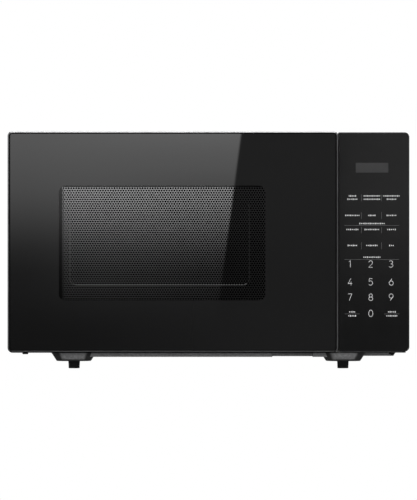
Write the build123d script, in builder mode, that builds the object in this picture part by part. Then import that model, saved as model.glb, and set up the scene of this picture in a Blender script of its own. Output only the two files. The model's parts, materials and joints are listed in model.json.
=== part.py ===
from build123d import *
import os
from math import cos, radians, sin

os.makedirs("parts", exist_ok=True)

# Microwave oven, millimetres. X to the viewer's right, Y to the back, Z up.
# The origin is on the floor, under the middle of the whole object.

# Overall size, with the feet and the cord gland
overall_width = 440.0
overall_depth = 345.0
overall_height = 262.0

# Stock, and the gaps left between pieces
sheet = 0.8
wall = 2.2
fit_gap = 0.2
running_gap = 0.3
shaft_gap = 0.05
cut_margin = 1.0

# Door
door_bottom = 19.3
door_depth = 31.0
door_gap = 1.0
door_clearance = 2.0
glass_thickness = 4.0
glass_bevel = 1.5
glass_overhang = 1.2
corner_radius = 5.5
window_width = 226.0
window_height = 125.6
window_from_left = 56.2
window_from_bottom = 57.4
window_radius = 7.0
window_margin = 3.0
screen_setback = 8.5
screen_thickness = 0.6
screen_border = 8.0
inner_inset_x = 14.2
inner_inset_z = 16.6
inner_shift = -2.8
inner_glass_thickness = 2.0
inner_bevel = 0.8
choke_side = 11.0
choke_vertical = 8.0
cover_thickness = 2.0
boss_radius = 4.5
boss_inset_x = 12.0
boss_inset_z = 10.0
screw_radius = 1.5
screw_head_radius = 3.2
screw_head_height = 1.8
screw_length = 8.0
screw_end_gap = 1.0

# Door hinges
hinge_radius = 9.0
hinge_arm_half = 6.0
hinge_arm_thickness = 2.0
hinge_arm_from_edge = 7.0
hinge_slot_front = 10.5
hinge_block = 34.0
hinge_plate_thickness = 1.5
hinge_plate_height = 24.0
hinge_plate_lip = 3.0
pin_radius = 3.0
pin_length = 12.0
bush_wall = 1.5

# Finger recess under the door
grip_width = 49.0
grip_from_right = 24.2
grip_height = 10.0
grip_depth = 13.0
grip_wall = 1.5

# Door latch
hook_thickness = 5.0
hook_from_right = 10.2
hook_height = 8.0
hook_reach = 25.0
barb_depth = 4.5
barb_length = 8.0
latch_travel = 4.0
latch_bar_depth = 10.0
upper_hook_from_top = 48.0
lower_hook_z = 72.0
guide_height = 10.0
guide_from_hook = 40.0
spring_radius = 2.6
spring_length = 24.0
spring_wall = 0.7
hook_slot_gap = 1.0
arc_slack = 4.0

# Cabinet
body_inset = 2.0
wrapper_radius = 4.0
return_flange = 12.0
frame_flange = 10.0
gland_projection = 6.0
foot_height = 8.5
pad_depth = 9.7
tray_depth = 5.0
draft = 0.63
foot_from_side = 70.0
foot_from_front = 60.5
foot_from_back = 44.5
foot_radius = 6.5
foot_taper = 0.4
stem_radius = 3.0
stem_lip = 1.2
stem_tip_inset = 0.4
stem_tip_height = 2.6
pad_half = 19.0
pad_radius = 11.0
tray_from_left = 45.5
tray_from_right = 54.0
tray_from_front = 39.0
tray_from_back = 17.5
tray_radius = 17.0
tray_setback = 30.0
tray_side_from_right = 9.3
tray_side_radius = 7.0
notch_depth = 24.0
notch_inset = 2.0
side_flange_height = 10.0
side_flange_gap = 2.0
base_screw_inset = 14.0
rear_screw_inset = 6.0
rear_screw_from_base = 51.0
rear_screw_from_top = 59.0
gland_from_side = 30.0
gland_from_base = 28.0
gland_hole_radius = 7.0
gland_cap_radius = 10.0
gland_nut_radius = 9.0
gland_nut_length = 4.0
gland_bore = 3.6

# Oven cavity
cavity_from_left = 34.0
cavity_from_right = 28.0
cavity_rear_gap = 14.4
cavity_roof_gap = 14.0
cavity_floor_z = 41.0
lamp_hole_pitch = 6.0
lamp_hole_radius = 1.6
wall_vent_from_front = 68.7
mica_thickness = 0.6
mica_lap = 7.0
mica_radius = 4.0

# Turntable
plate_clearance = 17.5
plate_thickness = 5.0
plate_rim_height = 12.0
plate_rim_width = 15.5
plate_edge_height = 4.0
plate_edge_width = 3.0
roller_radius = 7.0
roller_width = 7.0
roller_slack = 0.15
roller_round = 1.0
roller_offset = 2.0
roller_end_gap = 0.5
axle_radius = 1.75
axle_collar = 1.5
axle_collar_length = 4.7
axle_collar_inset = 3.0
axle_cap = 1.0
axle_cap_length = 1.5
ring_inset = 41.5
ring_width = 8.0
ring_thickness = 5.0
coupler_radius = 8.5
coupler_arm_length = 24.0
coupler_arm_width = 7.0
coupler_floor_gap = 2.0
coupler_roof = 3.0
lug_radius = 3.5
lug_circle_radius = 17.0
lug_height = 5.5
lug_root = 1.0
turntable_shaft_radius = 3.5
turntable_motor_radius = 25.0
turntable_motor_height = 19.0
motor_ear_reach = 22.0
motor_ear_width = 12.0
motor_ear_thickness = 1.5
motor_shaft_depth = 10.0
shaft_hole_gap = 2.0

# Control panel
panel_width = 77.0
panel_setback = 1.0
overlay_thickness = 2.5
overlay_round = 1.8
membrane_thickness = 0.6
membrane_border = 4.0
display_width = 35.7
display_height = 10.7
display_from_left = 36.0
display_from_top = 38.9
display_ledge = 1.0
display_block_border = 2.0
display_block_gap = 0.5
board_thickness = 1.6
board_setback = 11.0
board_side_gap = 3.0
board_from_bottom = 30.0
board_from_top = 14.0
board_post_radius = 3.5
board_post_inset_x = 11.0
board_post_inset_z = 45.0
relay_width = 28.0
relay_height = 24.0
relay_depth = 14.0
relay_offset_x = 16.0
relay_offset_z = 20.0
small_relay_width = 18.0
small_relay_height = 20.0
small_relay_depth = 13.0
small_relay_offset_x = 18.0
plug_width = 30.0
plug_height = 12.0
plug_depth = 6.0
plug_offset_z = 30.0
cable_window_shift = 4.0
cable_window_side = 13.0
cable_window_end = 30.0

# Parts behind the panel
waveguide_height = 46.0
waveguide_z = 104.0
waveguide_y = 9.0
waveguide_length = 90.0
waveguide_reach = 88.0
waveguide_lip_y = 8.0
waveguide_lip_z = 5.0
magnetron_from_side = 55.0
magnetron_width = 92.0
magnetron_depth = 76.0
yoke_height = 56.0
yoke_wall = 1.4
magnet_radius = 27.0
magnet_bore = 12.0
anode_radius = 19.0
fin_count = 8
fin_thickness = 0.8
fin_inset = 4.0
filter_height = 26.0
filter_width = 76.0
filter_depth = 56.0
antenna_radius = 9.0
antenna_length = 22.0
antenna_round = 2.0
antenna_hole_gap = 3.0
transformer_from_side = 57.0
transformer_y = 2.0
core_width = 84.0
core_stack = 62.0
core_height = 70.0
limb = 14.0
coil_overhang = 14.0
coil_round = 12.0
coil_end_gap = 0.5
coil_spacing = 3.0
capacitor_from_back = 65.7
capacitor_from_wall = 6.0
capacitor_width = 52.0
capacitor_height = 34.0
capacitor_length = 82.0
terminal_length = 7.0
terminal_width = 6.0
terminal_thickness = 1.0
terminal_offset = 8.0
strap_thickness = 1.2
strap_width = 20.0
strap_foot = 10.0
diode_from_wall = 10.0
diode_from_capacitor = 38.0
diode_length = 36.0
diode_width = 8.0
diode_tag_thickness = 1.0
diode_tag_length = 8.0
diode_inset = 0.5
diode_height = 7.0
fan_from_side = 54.0
fan_z = 165.0
fan_radius = 42.0
fan_hub_radius = 11.0
fan_hub_length = 16.0
fan_hub_gap = 4.0
fan_hub_roof = 2.0
blade_width = 24.0
blade_thickness = 1.6
blade_root = 3.0
fan_blades = 5
fan_pitch = 35.0
fan_shaft_radius = 2.0
fan_motor_width = 50.0
fan_motor_stack = 18.0
fan_motor_gap = 6.0
fan_bracket_inset = 8.0
fan_bracket_drop = 8.0
fan_bracket_rise = 6.0
fan_bracket_front = 2.0
shroud_gap = 3.0
shroud_thickness = 2.0
shroud_rim = 2.0
shroud_corner = 6.0
shroud_post_radius = 4.0
shroud_post_inset = 4.5
lamp_from_back = 55.3
lamp_from_roof = 36.0
lamp_radius = 9.0
lamp_length = 13.5
lamp_wall_gap = 2.5
lamp_round = 8.5
lamp_neck = 6.3
lamp_neck_length = 6.0
lamp_bracket = 1.2
lamp_bracket_reach = 32.0
lamp_bracket_half = 10.0
lamp_bracket_drop = 10.0
lamp_plate_half = 16.0
lamp_plate_low = 18.0
lamp_plate_height = 12.0
lamp_socket_radius = 8.0
lamp_socket_length = 8.8
cutout_radius = 8.0
cutout_height = 6.0
cutout_above_lamp = 18.0
mains_board_length = 46.0
mains_board_height = 51.0
mains_board_from_roof = 32.0
mains_board_gap = 8.5
mains_board_standoff = 6.0
mains_post_radius = 2.5
mains_post_inset = 4.0
choke_coil_radius = 9.0
choke_coil_bore = 4.0
choke_coil_from_front = 14.0
choke_coil_from_bottom = 15.0
fuse_length = 26.0
fuse_height = 10.0
fuse_from_front = 28.0
fuse_from_top = 12.0
mains_part_height = 12.0
vent_length = 30.0
vent_width = 4.0
vent_pitch = 8.0
vent_row_gap = 8.0
base_vent_length = 50.0
base_vent_from_tray = 42.0
base_vent_shift = 2.0
rear_vent_from_left = 50.0
rear_vent_from_roof = 40.0
right_vent_from_back = 112.5
right_vent_z = 100.0
left_vent_from_back = 92.5
left_vent_from_top = 57.0

# Latch board and switches
latch_board_end = 22.0
latch_web_reach = 22.0
latch_web_gap = 1.0
latch_wall_gap = 1.0
latch_slot_lap = 0.5
keeper_half = 4.0
keeper_height = 7.5
keeper_gap = 0.5
switch_gap = 2.0
switch_width = 10.3
switch_depth = 18.0
switch_half_height = 14.0
switch_spacing = 36.0
plunger_reach = 1.4
monitor_reach = 4.0
plunger_near = 4.0
plunger_far = 7.0
plunger_half = 2.0

# Derived positions
half_width = overall_width / 2
front_y = -overall_depth / 2
rear_y = overall_depth / 2
door_width = overall_width - panel_width - door_gap
door_height = overall_height - door_bottom
door_left = -half_width
door_right = door_left + door_width
door_x = (door_left + door_right) / 2
door_z = (door_bottom + overall_height) / 2
glass_back = front_y + glass_thickness
door_back = front_y + door_depth
frame_left = door_left + glass_overhang
frame_right = door_right - glass_overhang
frame_bottom = door_bottom + glass_overhang
frame_top = overall_height - glass_overhang
frame_front_back = glass_back + wall
window_x = door_left + window_from_left + window_width / 2
window_z = door_bottom + window_from_bottom + window_height / 2
screen_front = glass_back + screen_setback
steel_front = screen_front + screen_thickness
steel_back = steel_front + sheet
cover_front = door_back - cover_thickness
hinge_x = frame_left + hinge_radius
hinge_y = door_back - hinge_radius
stile_right = frame_left + 2 * hinge_radius
lower_arm_z = frame_bottom + hinge_arm_from_edge
upper_arm_z = frame_top - hinge_arm_from_edge - hinge_arm_thickness
bush_radius = pin_radius + shaft_gap + bush_wall

plate_front = door_back + door_clearance
plate_back = plate_front + sheet
body_half = half_width - body_inset
body_top = overall_height - body_inset
inner_half = body_half - sheet - fit_gap
inner_top = body_top - sheet - fit_gap
rear_face = rear_y - gland_projection
rear_inner = rear_face - sheet
base_z = foot_height + pad_depth
base_top = base_z + sheet
tray_floor = base_z - tray_depth + sheet
inner_corner = wrapper_radius + fit_gap

cavity_left = door_left + cavity_from_left
cavity_right = door_right - cavity_from_right
cavity_rear = rear_inner - cavity_rear_gap
cavity_top = overall_height - cavity_roof_gap
cavity_width = cavity_right - cavity_left
cavity_depth = cavity_rear - plate_back
cavity_height = cavity_top - cavity_floor_z
cavity_x = (cavity_left + cavity_right) / 2
cavity_y = (plate_back + cavity_rear) / 2
wall_outside = cavity_right + sheet
axle_z = cavity_floor_z + roller_slack + roller_radius
plate_z = axle_z + roller_radius + roller_slack
plate_radius = cavity_depth / 2 - plate_clearance
plate_base_radius = plate_radius - plate_rim_width
ring_radius = plate_radius - ring_inset

steel_left = cavity_left - choke_side
steel_right = cavity_right + choke_side
steel_bottom = cavity_floor_z - choke_vertical
steel_top = cavity_top + choke_vertical
inner_x = window_x + inner_shift
inner_width = window_width - 2 * inner_inset_x
inner_height = window_height - 2 * inner_inset_z

grip_right = door_right - grip_from_right
grip_left = grip_right - grip_width
hook_x = frame_right - hook_from_right
upper_hook_z = overall_height - upper_hook_from_top
guide_levels = (lower_hook_z + guide_from_hook, upper_hook_z - guide_from_hook - guide_height)
hook_tip = plate_front + hook_reach
bar_back = cover_front - running_gap
bar_front = bar_back - latch_bar_depth
spring_top = upper_hook_z + hook_height + spring_length

panel_left = door_right + door_gap
panel_right = half_width
panel_front = front_y + panel_setback
housing_front = panel_front + overlay_thickness
housing_wall_back = housing_front + wall
panel_x = (panel_left + panel_right) / 2
panel_z = (frame_bottom + frame_top) / 2
panel_height = frame_top - frame_bottom
display_x = panel_left + display_from_left
display_z = frame_top - display_from_top
board_front = housing_wall_back + board_setback
magnetron_x = half_width - magnetron_from_side
transformer_x = half_width - transformer_from_side
capacitor_y = rear_inner - capacitor_from_back
fan_x = half_width - fan_from_side
lamp_y = cavity_rear - lamp_from_back
lamp_z = cavity_top - lamp_from_roof
magnetron_z = waveguide_z + waveguide_height
yoke_top = magnetron_z + yoke_height
fan_back = rear_inner - fan_motor_stack - fan_motor_gap
hook_levels = (upper_hook_z, lower_hook_z)
foot_x = half_width - foot_from_side
foot_front_y = front_y + foot_from_front
foot_rear_y = rear_y - foot_from_back
tray_left = -half_width + tray_from_left
tray_right = half_width - tray_from_right
tray_side_right = half_width - tray_side_from_right
tray_front_y = front_y + tray_from_front
tray_rear_y = rear_y - tray_from_back
base_screw_x = (-inner_half + base_screw_inset, inner_half - base_screw_inset)
foot_spots = [(x, y) for x in (-foot_x, foot_x) for y in (foot_front_y, foot_rear_y)]


def facing(y):
    """Upright sketch plane at depth y: local x is X, local y is Z, extrusion comes forward."""
    return Plane.XZ.offset(-y)


def block(x, y, z, mode=Mode.ADD):
    """Box between two corners, each argument a (low, high) pair."""
    with Locations(((x[0] + x[1]) / 2, (y[0] + y[1]) / 2, (z[0] + z[1]) / 2)):
        Box(x[1] - x[0], y[1] - y[0], z[1] - z[0], mode=mode)


def drafted(x, y, top, depth, radius, mode=Mode.ADD):
    """Pressing with sloped walls and rounded corners, from its mouth at top down by depth."""
    slope = depth * draft
    middle = ((x[0] + x[1]) / 2, (y[0] + y[1]) / 2)
    with BuildSketch(Plane.XY.offset(top)) as mouth:
        with Locations(middle):
            RectangleRounded(x[1] - x[0], y[1] - y[0], radius)
    with BuildSketch(Plane.XY.offset(top - depth)) as floor:
        with Locations(middle):
            RectangleRounded(x[1] - x[0] - 2 * slope, y[1] - y[0] - 2 * slope, radius - slope / 2)
    loft([mouth.sketch.face(), floor.sketch.face()], ruled=True, mode=mode)


# Front glass: one bevelled pane over the whole door
with BuildPart() as front_glass:
    with BuildSketch(facing(glass_back)):
        with Locations((door_x, door_z)):
            RectangleRounded(door_width, door_height, corner_radius)
    extrude(amount=glass_thickness)
    chamfer(front_glass.faces().sort_by(Axis.Y)[0].edges(), length=glass_bevel)
front_glass.part.label = "front_glass"

# Door frame: moulded tray behind the glass, with the hinge stile on the left
boss_spots = [
    (x, z)
    for x in (steel_left + boss_inset_x, window_x, steel_right - boss_inset_x)
    for z in (steel_bottom + boss_inset_z, steel_top - boss_inset_z)
]
with BuildPart() as door_frame:
    with BuildSketch(facing(door_back)):
        with Locations((door_x, door_z)):
            RectangleRounded(
                frame_right - frame_left,
                frame_top - frame_bottom,
                corner_radius - glass_overhang,
            )
    extrude(amount=door_back - glass_back)
    block(
        (stile_right, frame_right - wall),
        (frame_front_back, door_back),
        (frame_bottom + wall, frame_top - wall),
        Mode.SUBTRACT,
    )
    with BuildSketch(facing(frame_front_back)):
        with Locations((window_x, window_z)):
            RectangleRounded(
                window_width + 2 * window_margin,
                window_height + 2 * window_margin,
                window_radius,
            )
    extrude(amount=wall, mode=Mode.SUBTRACT)
    block(
        (frame_left + wall, stile_right - wall),
        (glass_back, hinge_y),
        (frame_bottom + hinge_block, frame_top - hinge_block),
        Mode.SUBTRACT,
    )
    with BuildSketch(Plane.XY.offset(frame_bottom)):
        with Locations((hinge_x - hinge_radius / 2, hinge_y + hinge_radius / 2)):
            Rectangle(hinge_radius, hinge_radius)
        with Locations((hinge_x, hinge_y)):
            Circle(hinge_radius, mode=Mode.SUBTRACT)
    extrude(amount=frame_top - frame_bottom, mode=Mode.SUBTRACT)
    for arm_z in (lower_arm_z, upper_arm_z):
        block(
            (frame_left - cut_margin, hinge_x + hinge_arm_half + running_gap),
            (hinge_y - hinge_slot_front, door_back + cut_margin),
            (arm_z - running_gap, arm_z + hinge_arm_thickness + running_gap),
            Mode.SUBTRACT,
        )
    with BuildSketch(Plane.XY.offset(lower_arm_z + hinge_arm_thickness)):
        with Locations((hinge_x, hinge_y)):
            Circle(bush_radius)
    extrude(amount=running_gap + pin_length, mode=Mode.SUBTRACT)
    with BuildSketch(Plane.XY.offset(upper_arm_z - running_gap - pin_length)):
        with Locations((hinge_x, hinge_y)):
            Circle(bush_radius)
    extrude(amount=running_gap + pin_length, mode=Mode.SUBTRACT)
    with BuildSketch(facing(steel_front)):
        with Locations(*boss_spots):
            Circle(boss_radius)
    extrude(amount=steel_front - frame_front_back)
    block(
        (grip_left - grip_wall, grip_right + grip_wall),
        (frame_front_back, frame_front_back + grip_depth + grip_wall),
        (frame_bottom, frame_bottom + grip_height + grip_wall),
    )
    block(
        (grip_left, grip_right),
        (frame_front_back, frame_front_back + grip_depth),
        (frame_bottom, frame_bottom + grip_height),
        Mode.SUBTRACT,
    )
    for z in guide_levels:
        half_slot = hook_thickness / 2 + running_gap
        block(
            (hook_x - half_slot - wall, hook_x + half_slot + wall),
            (frame_front_back, bar_front + latch_bar_depth / 2),
            (z, z + guide_height),
        )
        block(
            (hook_x - half_slot, hook_x + half_slot),
            (bar_front - running_gap, bar_front + latch_bar_depth),
            (z, z + guide_height),
            Mode.SUBTRACT,
        )
    block(
        (hook_x - hook_thickness / 2, hook_x + hook_thickness / 2),
        (frame_front_back, bar_back),
        (spring_top, spring_top + wall),
    )
    with BuildSketch(facing(steel_front)):
        with Locations(*boss_spots):
            Circle(screw_radius + shaft_gap)
    extrude(amount=steel_front - frame_front_back, mode=Mode.SUBTRACT)
door_frame.part.label = "door_frame"

# Hinge bushes pressed into the frame
with BuildPart() as hinge_bushes:
    for bottom in (lower_arm_z + hinge_arm_thickness + running_gap, upper_arm_z - running_gap - pin_length):
        with BuildSketch(Plane.XY.offset(bottom)):
            with Locations((hinge_x, hinge_y)):
                Circle(bush_radius)
                Circle(pin_radius + shaft_gap, mode=Mode.SUBTRACT)
        extrude(amount=pin_length)
hinge_bushes.part.label = "hinge_bushes"

# Perforated screen behind the window
with BuildPart() as perforated_screen:
    with BuildSketch(facing(steel_front)):
        with Locations((window_x, window_z)):
            RectangleRounded(
                window_width + 2 * screen_border,
                window_height + 2 * screen_border,
                window_radius,
            )
    extrude(amount=screen_thickness)
perforated_screen.part.label = "perforated_screen"

# Steel door panel with its choke flange
with BuildPart() as door_panel:
    block((steel_left, steel_right), (steel_front, cover_front), (steel_bottom, steel_top))
    block(
        (steel_left + sheet, steel_right - sheet),
        (steel_back, cover_front),
        (steel_bottom + sheet, steel_top - sheet),
        Mode.SUBTRACT,
    )
    with BuildSketch(facing(steel_back)):
        with Locations((window_x, window_z)):
            RectangleRounded(window_width + screen_border, window_height + screen_border, window_radius)
        with Locations(*boss_spots):
            Circle(screw_radius + shaft_gap)
    extrude(amount=sheet, mode=Mode.SUBTRACT)
door_panel.part.label = "door_panel"

# Screws through the steel panel into the frame
with BuildPart() as door_screws:
    with BuildSketch(facing(steel_back)):
        with Locations(*boss_spots):
            Circle(screw_radius)
    extrude(amount=steel_back - frame_front_back - screw_end_gap)
    with BuildSketch(facing(steel_back + screw_head_height)):
        with Locations(*boss_spots):
            Circle(screw_head_radius)
    extrude(amount=screw_head_height)
door_screws.part.label = "door_screws"

# Inner window: a bevelled clear sheet against the back of the screen
with BuildPart() as inner_window:
    with BuildSketch(facing(steel_front + inner_glass_thickness)):
        with Locations((inner_x, window_z)):
            RectangleRounded(inner_width, inner_height, window_radius)
    extrude(amount=inner_glass_thickness)
    chamfer(inner_window.faces().sort_by(Axis.Y)[0].edges(), length=inner_bevel)
inner_window.part.label = "inner_window"

# Choke cover: moulded back of the door, with a lip round the inner window
with BuildPart() as choke_cover:
    block(
        (stile_right + fit_gap, frame_right - wall - fit_gap),
        (cover_front, door_back),
        (frame_bottom + wall + fit_gap, frame_top - wall - fit_gap),
    )
    with BuildSketch(facing(cover_front)):
        with Locations((inner_x, window_z)):
            RectangleRounded(
                inner_width + 2 * (fit_gap + wall),
                inner_height + 2 * (fit_gap + wall),
                window_radius + wall,
            )
    extrude(amount=cover_front - steel_front)
    with BuildSketch(facing(door_back)):
        with Locations((inner_x, window_z)):
            RectangleRounded(
                inner_width + 2 * fit_gap,
                inner_height + 2 * fit_gap,
                window_radius + fit_gap,
            )
    extrude(amount=door_back - steel_front, mode=Mode.SUBTRACT)
    for z in hook_levels:
        low = z - hook_height / 2 - barb_depth - hook_slot_gap
        high = z + hook_height / 2 + latch_travel + hook_slot_gap
        block(
            (hook_x - hook_thickness / 2 - running_gap, hook_x + hook_thickness / 2 + running_gap),
            (cover_front, door_back),
            (low, high),
            Mode.SUBTRACT,
        )
choke_cover.part.label = "choke_cover"

# Latch: one sliding bar with two hooks that reach through the front plate
with BuildPart() as latch_hooks:
    hook_span = (hook_x - hook_thickness / 2, hook_x + hook_thickness / 2)
    block(
        hook_span,
        (bar_front, bar_back),
        (lower_hook_z - hook_height, upper_hook_z + hook_height),
    )
    for z in hook_levels:
        with BuildSketch(Plane.YZ.offset(hook_span[0])):
            with BuildLine():
                Polyline(
                    (bar_back - cut_margin, z - hook_height / 2),
                    (hook_tip - barb_length, z - hook_height / 2),
                    (hook_tip - barb_length, z - hook_height / 2 - barb_depth),
                    (hook_tip - barb_length / 2, z - hook_height / 2 - barb_depth),
                    (hook_tip, z - hook_height / 2),
                    (hook_tip, z + hook_height / 4),
                    (hook_tip - barb_length / 2, z + hook_height / 2),
                    (bar_back - cut_margin, z + hook_height / 2),
                    close=True,
                )
            make_face()
        extrude(amount=hook_thickness)
latch_hooks.part.label = "latch_hooks"

# Latch spring, a close wound sleeve between the bar and its seat on the frame
with BuildPart() as latch_spring:
    with BuildSketch(Plane.XY.offset(upper_hook_z + hook_height)):
        with Locations((hook_x, (bar_front + bar_back) / 2)):
            Circle(spring_radius)
            Circle(spring_radius - spring_wall, mode=Mode.SUBTRACT)
    extrude(amount=spring_length)
latch_spring.part.label = "latch_spring"

# Hinge brackets: a plate behind the front plate, an arm and a pin
with BuildPart() as lower_hinge:
    block(
        (hinge_x - hinge_arm_half, hinge_x + 2 * hinge_arm_half),
        (plate_back, plate_back + hinge_plate_thickness),
        (lower_arm_z - hinge_plate_lip, lower_arm_z - hinge_plate_lip + hinge_plate_height),
    )
    block(
        (hinge_x - hinge_arm_half, hinge_x + hinge_arm_half),
        (hinge_y, plate_back),
        (lower_arm_z, lower_arm_z + hinge_arm_thickness),
    )
    with BuildSketch(Plane.XY.offset(lower_arm_z)):
        with Locations((hinge_x, hinge_y)):
            Circle(hinge_arm_half)
    extrude(amount=hinge_arm_thickness)
    with BuildSketch(Plane.XY.offset(lower_arm_z + hinge_arm_thickness)):
        with Locations((hinge_x, hinge_y)):
            Circle(pin_radius)
    extrude(amount=pin_length)
lower_hinge.part.label = "lower_hinge"

upper_plate_top = upper_arm_z + hinge_arm_thickness + hinge_plate_lip
with BuildPart() as upper_hinge:
    block(
        (hinge_x - hinge_arm_half, hinge_x + 2 * hinge_arm_half),
        (plate_back, plate_back + hinge_plate_thickness),
        (upper_plate_top - hinge_plate_height, upper_plate_top),
    )
    block(
        (hinge_x - hinge_arm_half, hinge_x + hinge_arm_half),
        (hinge_y, plate_back),
        (upper_arm_z, upper_arm_z + hinge_arm_thickness),
    )
    with BuildSketch(Plane.XY.offset(upper_arm_z)):
        with Locations((hinge_x, hinge_y)):
            Circle(hinge_arm_half)
    extrude(amount=hinge_arm_thickness)
    with BuildSketch(Plane.XY.offset(upper_arm_z - pin_length)):
        with Locations((hinge_x, hinge_y)):
            Circle(pin_radius)
    extrude(amount=pin_length)
upper_hinge.part.label = "upper_hinge"

# Front plate of the cavity, behind the door and the panel
with BuildPart() as front_frame:
    with BuildSketch(facing(plate_back)):
        with Locations((0, (base_top + inner_top) / 2)):
            RectangleRounded(2 * inner_half, inner_top - base_top, inner_corner)
        with Locations((cavity_x, (cavity_floor_z + cavity_top) / 2)):
            Rectangle(cavity_width, cavity_height, mode=Mode.SUBTRACT)
        for z in hook_levels:
            low = z - hook_height / 2 - barb_depth - hook_slot_gap
            high = z + hook_height / 2 + latch_travel + hook_slot_gap
            with Locations((hook_x + arc_slack / 2, (low + high) / 2)):
                Rectangle(hook_thickness + 2 * running_gap + arc_slack, high - low, mode=Mode.SUBTRACT)
        for arm_z in (lower_arm_z, upper_arm_z):
            with Locations((hinge_x, arm_z + hinge_arm_thickness / 2)):
                Rectangle(
                    2 * (hinge_arm_half + fit_gap),
                    hinge_arm_thickness + 2 * fit_gap,
                    mode=Mode.SUBTRACT,
                )
        with Locations((panel_x + cable_window_shift, panel_z)):
            Rectangle(
                panel_width - 2 * cable_window_side,
                panel_height - 2 * cable_window_end,
                mode=Mode.SUBTRACT,
            )
    extrude(amount=sheet)
    block(
        (-inner_half + inner_corner, inner_half - inner_corner),
        (plate_back, plate_back + frame_flange),
        (inner_top - sheet, inner_top),
    )
    block(
        (-inner_half + inner_corner, inner_half - inner_corner),
        (plate_back, plate_back + frame_flange),
        (base_top, base_top + sheet),
    )
    for x in base_screw_x:
        with BuildSketch(Plane.XY.offset(base_top)):
            with Locations((x, plate_back + frame_flange / 2)):
                Circle(screw_radius + shaft_gap)
        extrude(amount=sheet, mode=Mode.SUBTRACT)
front_frame.part.label = "front_frame"

# Cavity: sides and roof in one sheet
with BuildPart() as cavity_wrap:
    block(
        (cavity_left - sheet, wall_outside),
        (plate_back, cavity_rear),
        (cavity_floor_z - sheet, cavity_top + sheet),
    )
    block(
        (cavity_left, cavity_right),
        (plate_back, cavity_rear),
        (cavity_floor_z - sheet, cavity_top),
        Mode.SUBTRACT,
    )
    with BuildSketch(Plane.YZ.offset(cavity_right)):
        with Locations((waveguide_y, waveguide_z + waveguide_height / 2)):
            Rectangle(waveguide_length - 2 * waveguide_lip_y, waveguide_height - 2 * waveguide_lip_z)
        with Locations((lamp_y, lamp_z)):
            with GridLocations(lamp_hole_pitch, lamp_hole_pitch, 5, 5):
                Circle(lamp_hole_radius)
    extrude(amount=sheet, mode=Mode.SUBTRACT)
    with BuildSketch(Plane.YZ.offset(cavity_left - sheet)):
        with Locations((plate_back + wall_vent_from_front, lamp_z)):
            with GridLocations(lamp_hole_pitch, lamp_hole_pitch, 8, 4):
                Circle(lamp_hole_radius)
    extrude(amount=sheet, mode=Mode.SUBTRACT)
cavity_wrap.part.label = "cavity_wrap"

with BuildPart() as cavity_floor:
    block((cavity_left, cavity_right), (plate_back, cavity_rear), (cavity_floor_z - sheet, cavity_floor_z))
    with BuildSketch(Plane.XY.offset(cavity_floor_z - sheet)):
        with Locations((cavity_x, cavity_y)):
            Circle(turntable_shaft_radius + shaft_hole_gap)
    extrude(amount=sheet, mode=Mode.SUBTRACT)
cavity_floor.part.label = "cavity_floor"

with BuildPart() as cavity_back:
    block(
        (cavity_left - sheet, wall_outside),
        (cavity_rear, cavity_rear + sheet),
        (cavity_floor_z - sheet, cavity_top + sheet),
    )
cavity_back.part.label = "cavity_back"

# Mica cover over the waveguide mouth
with BuildPart() as waveguide_cover:
    with BuildSketch(Plane.YZ.offset(cavity_right)):
        with Locations((waveguide_y, waveguide_z + waveguide_height / 2)):
            RectangleRounded(waveguide_length + 2 * mica_lap, waveguide_height + 2 * mica_lap, mica_radius)
    extrude(amount=-mica_thickness)
waveguide_cover.part.label = "waveguide_cover"

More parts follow.
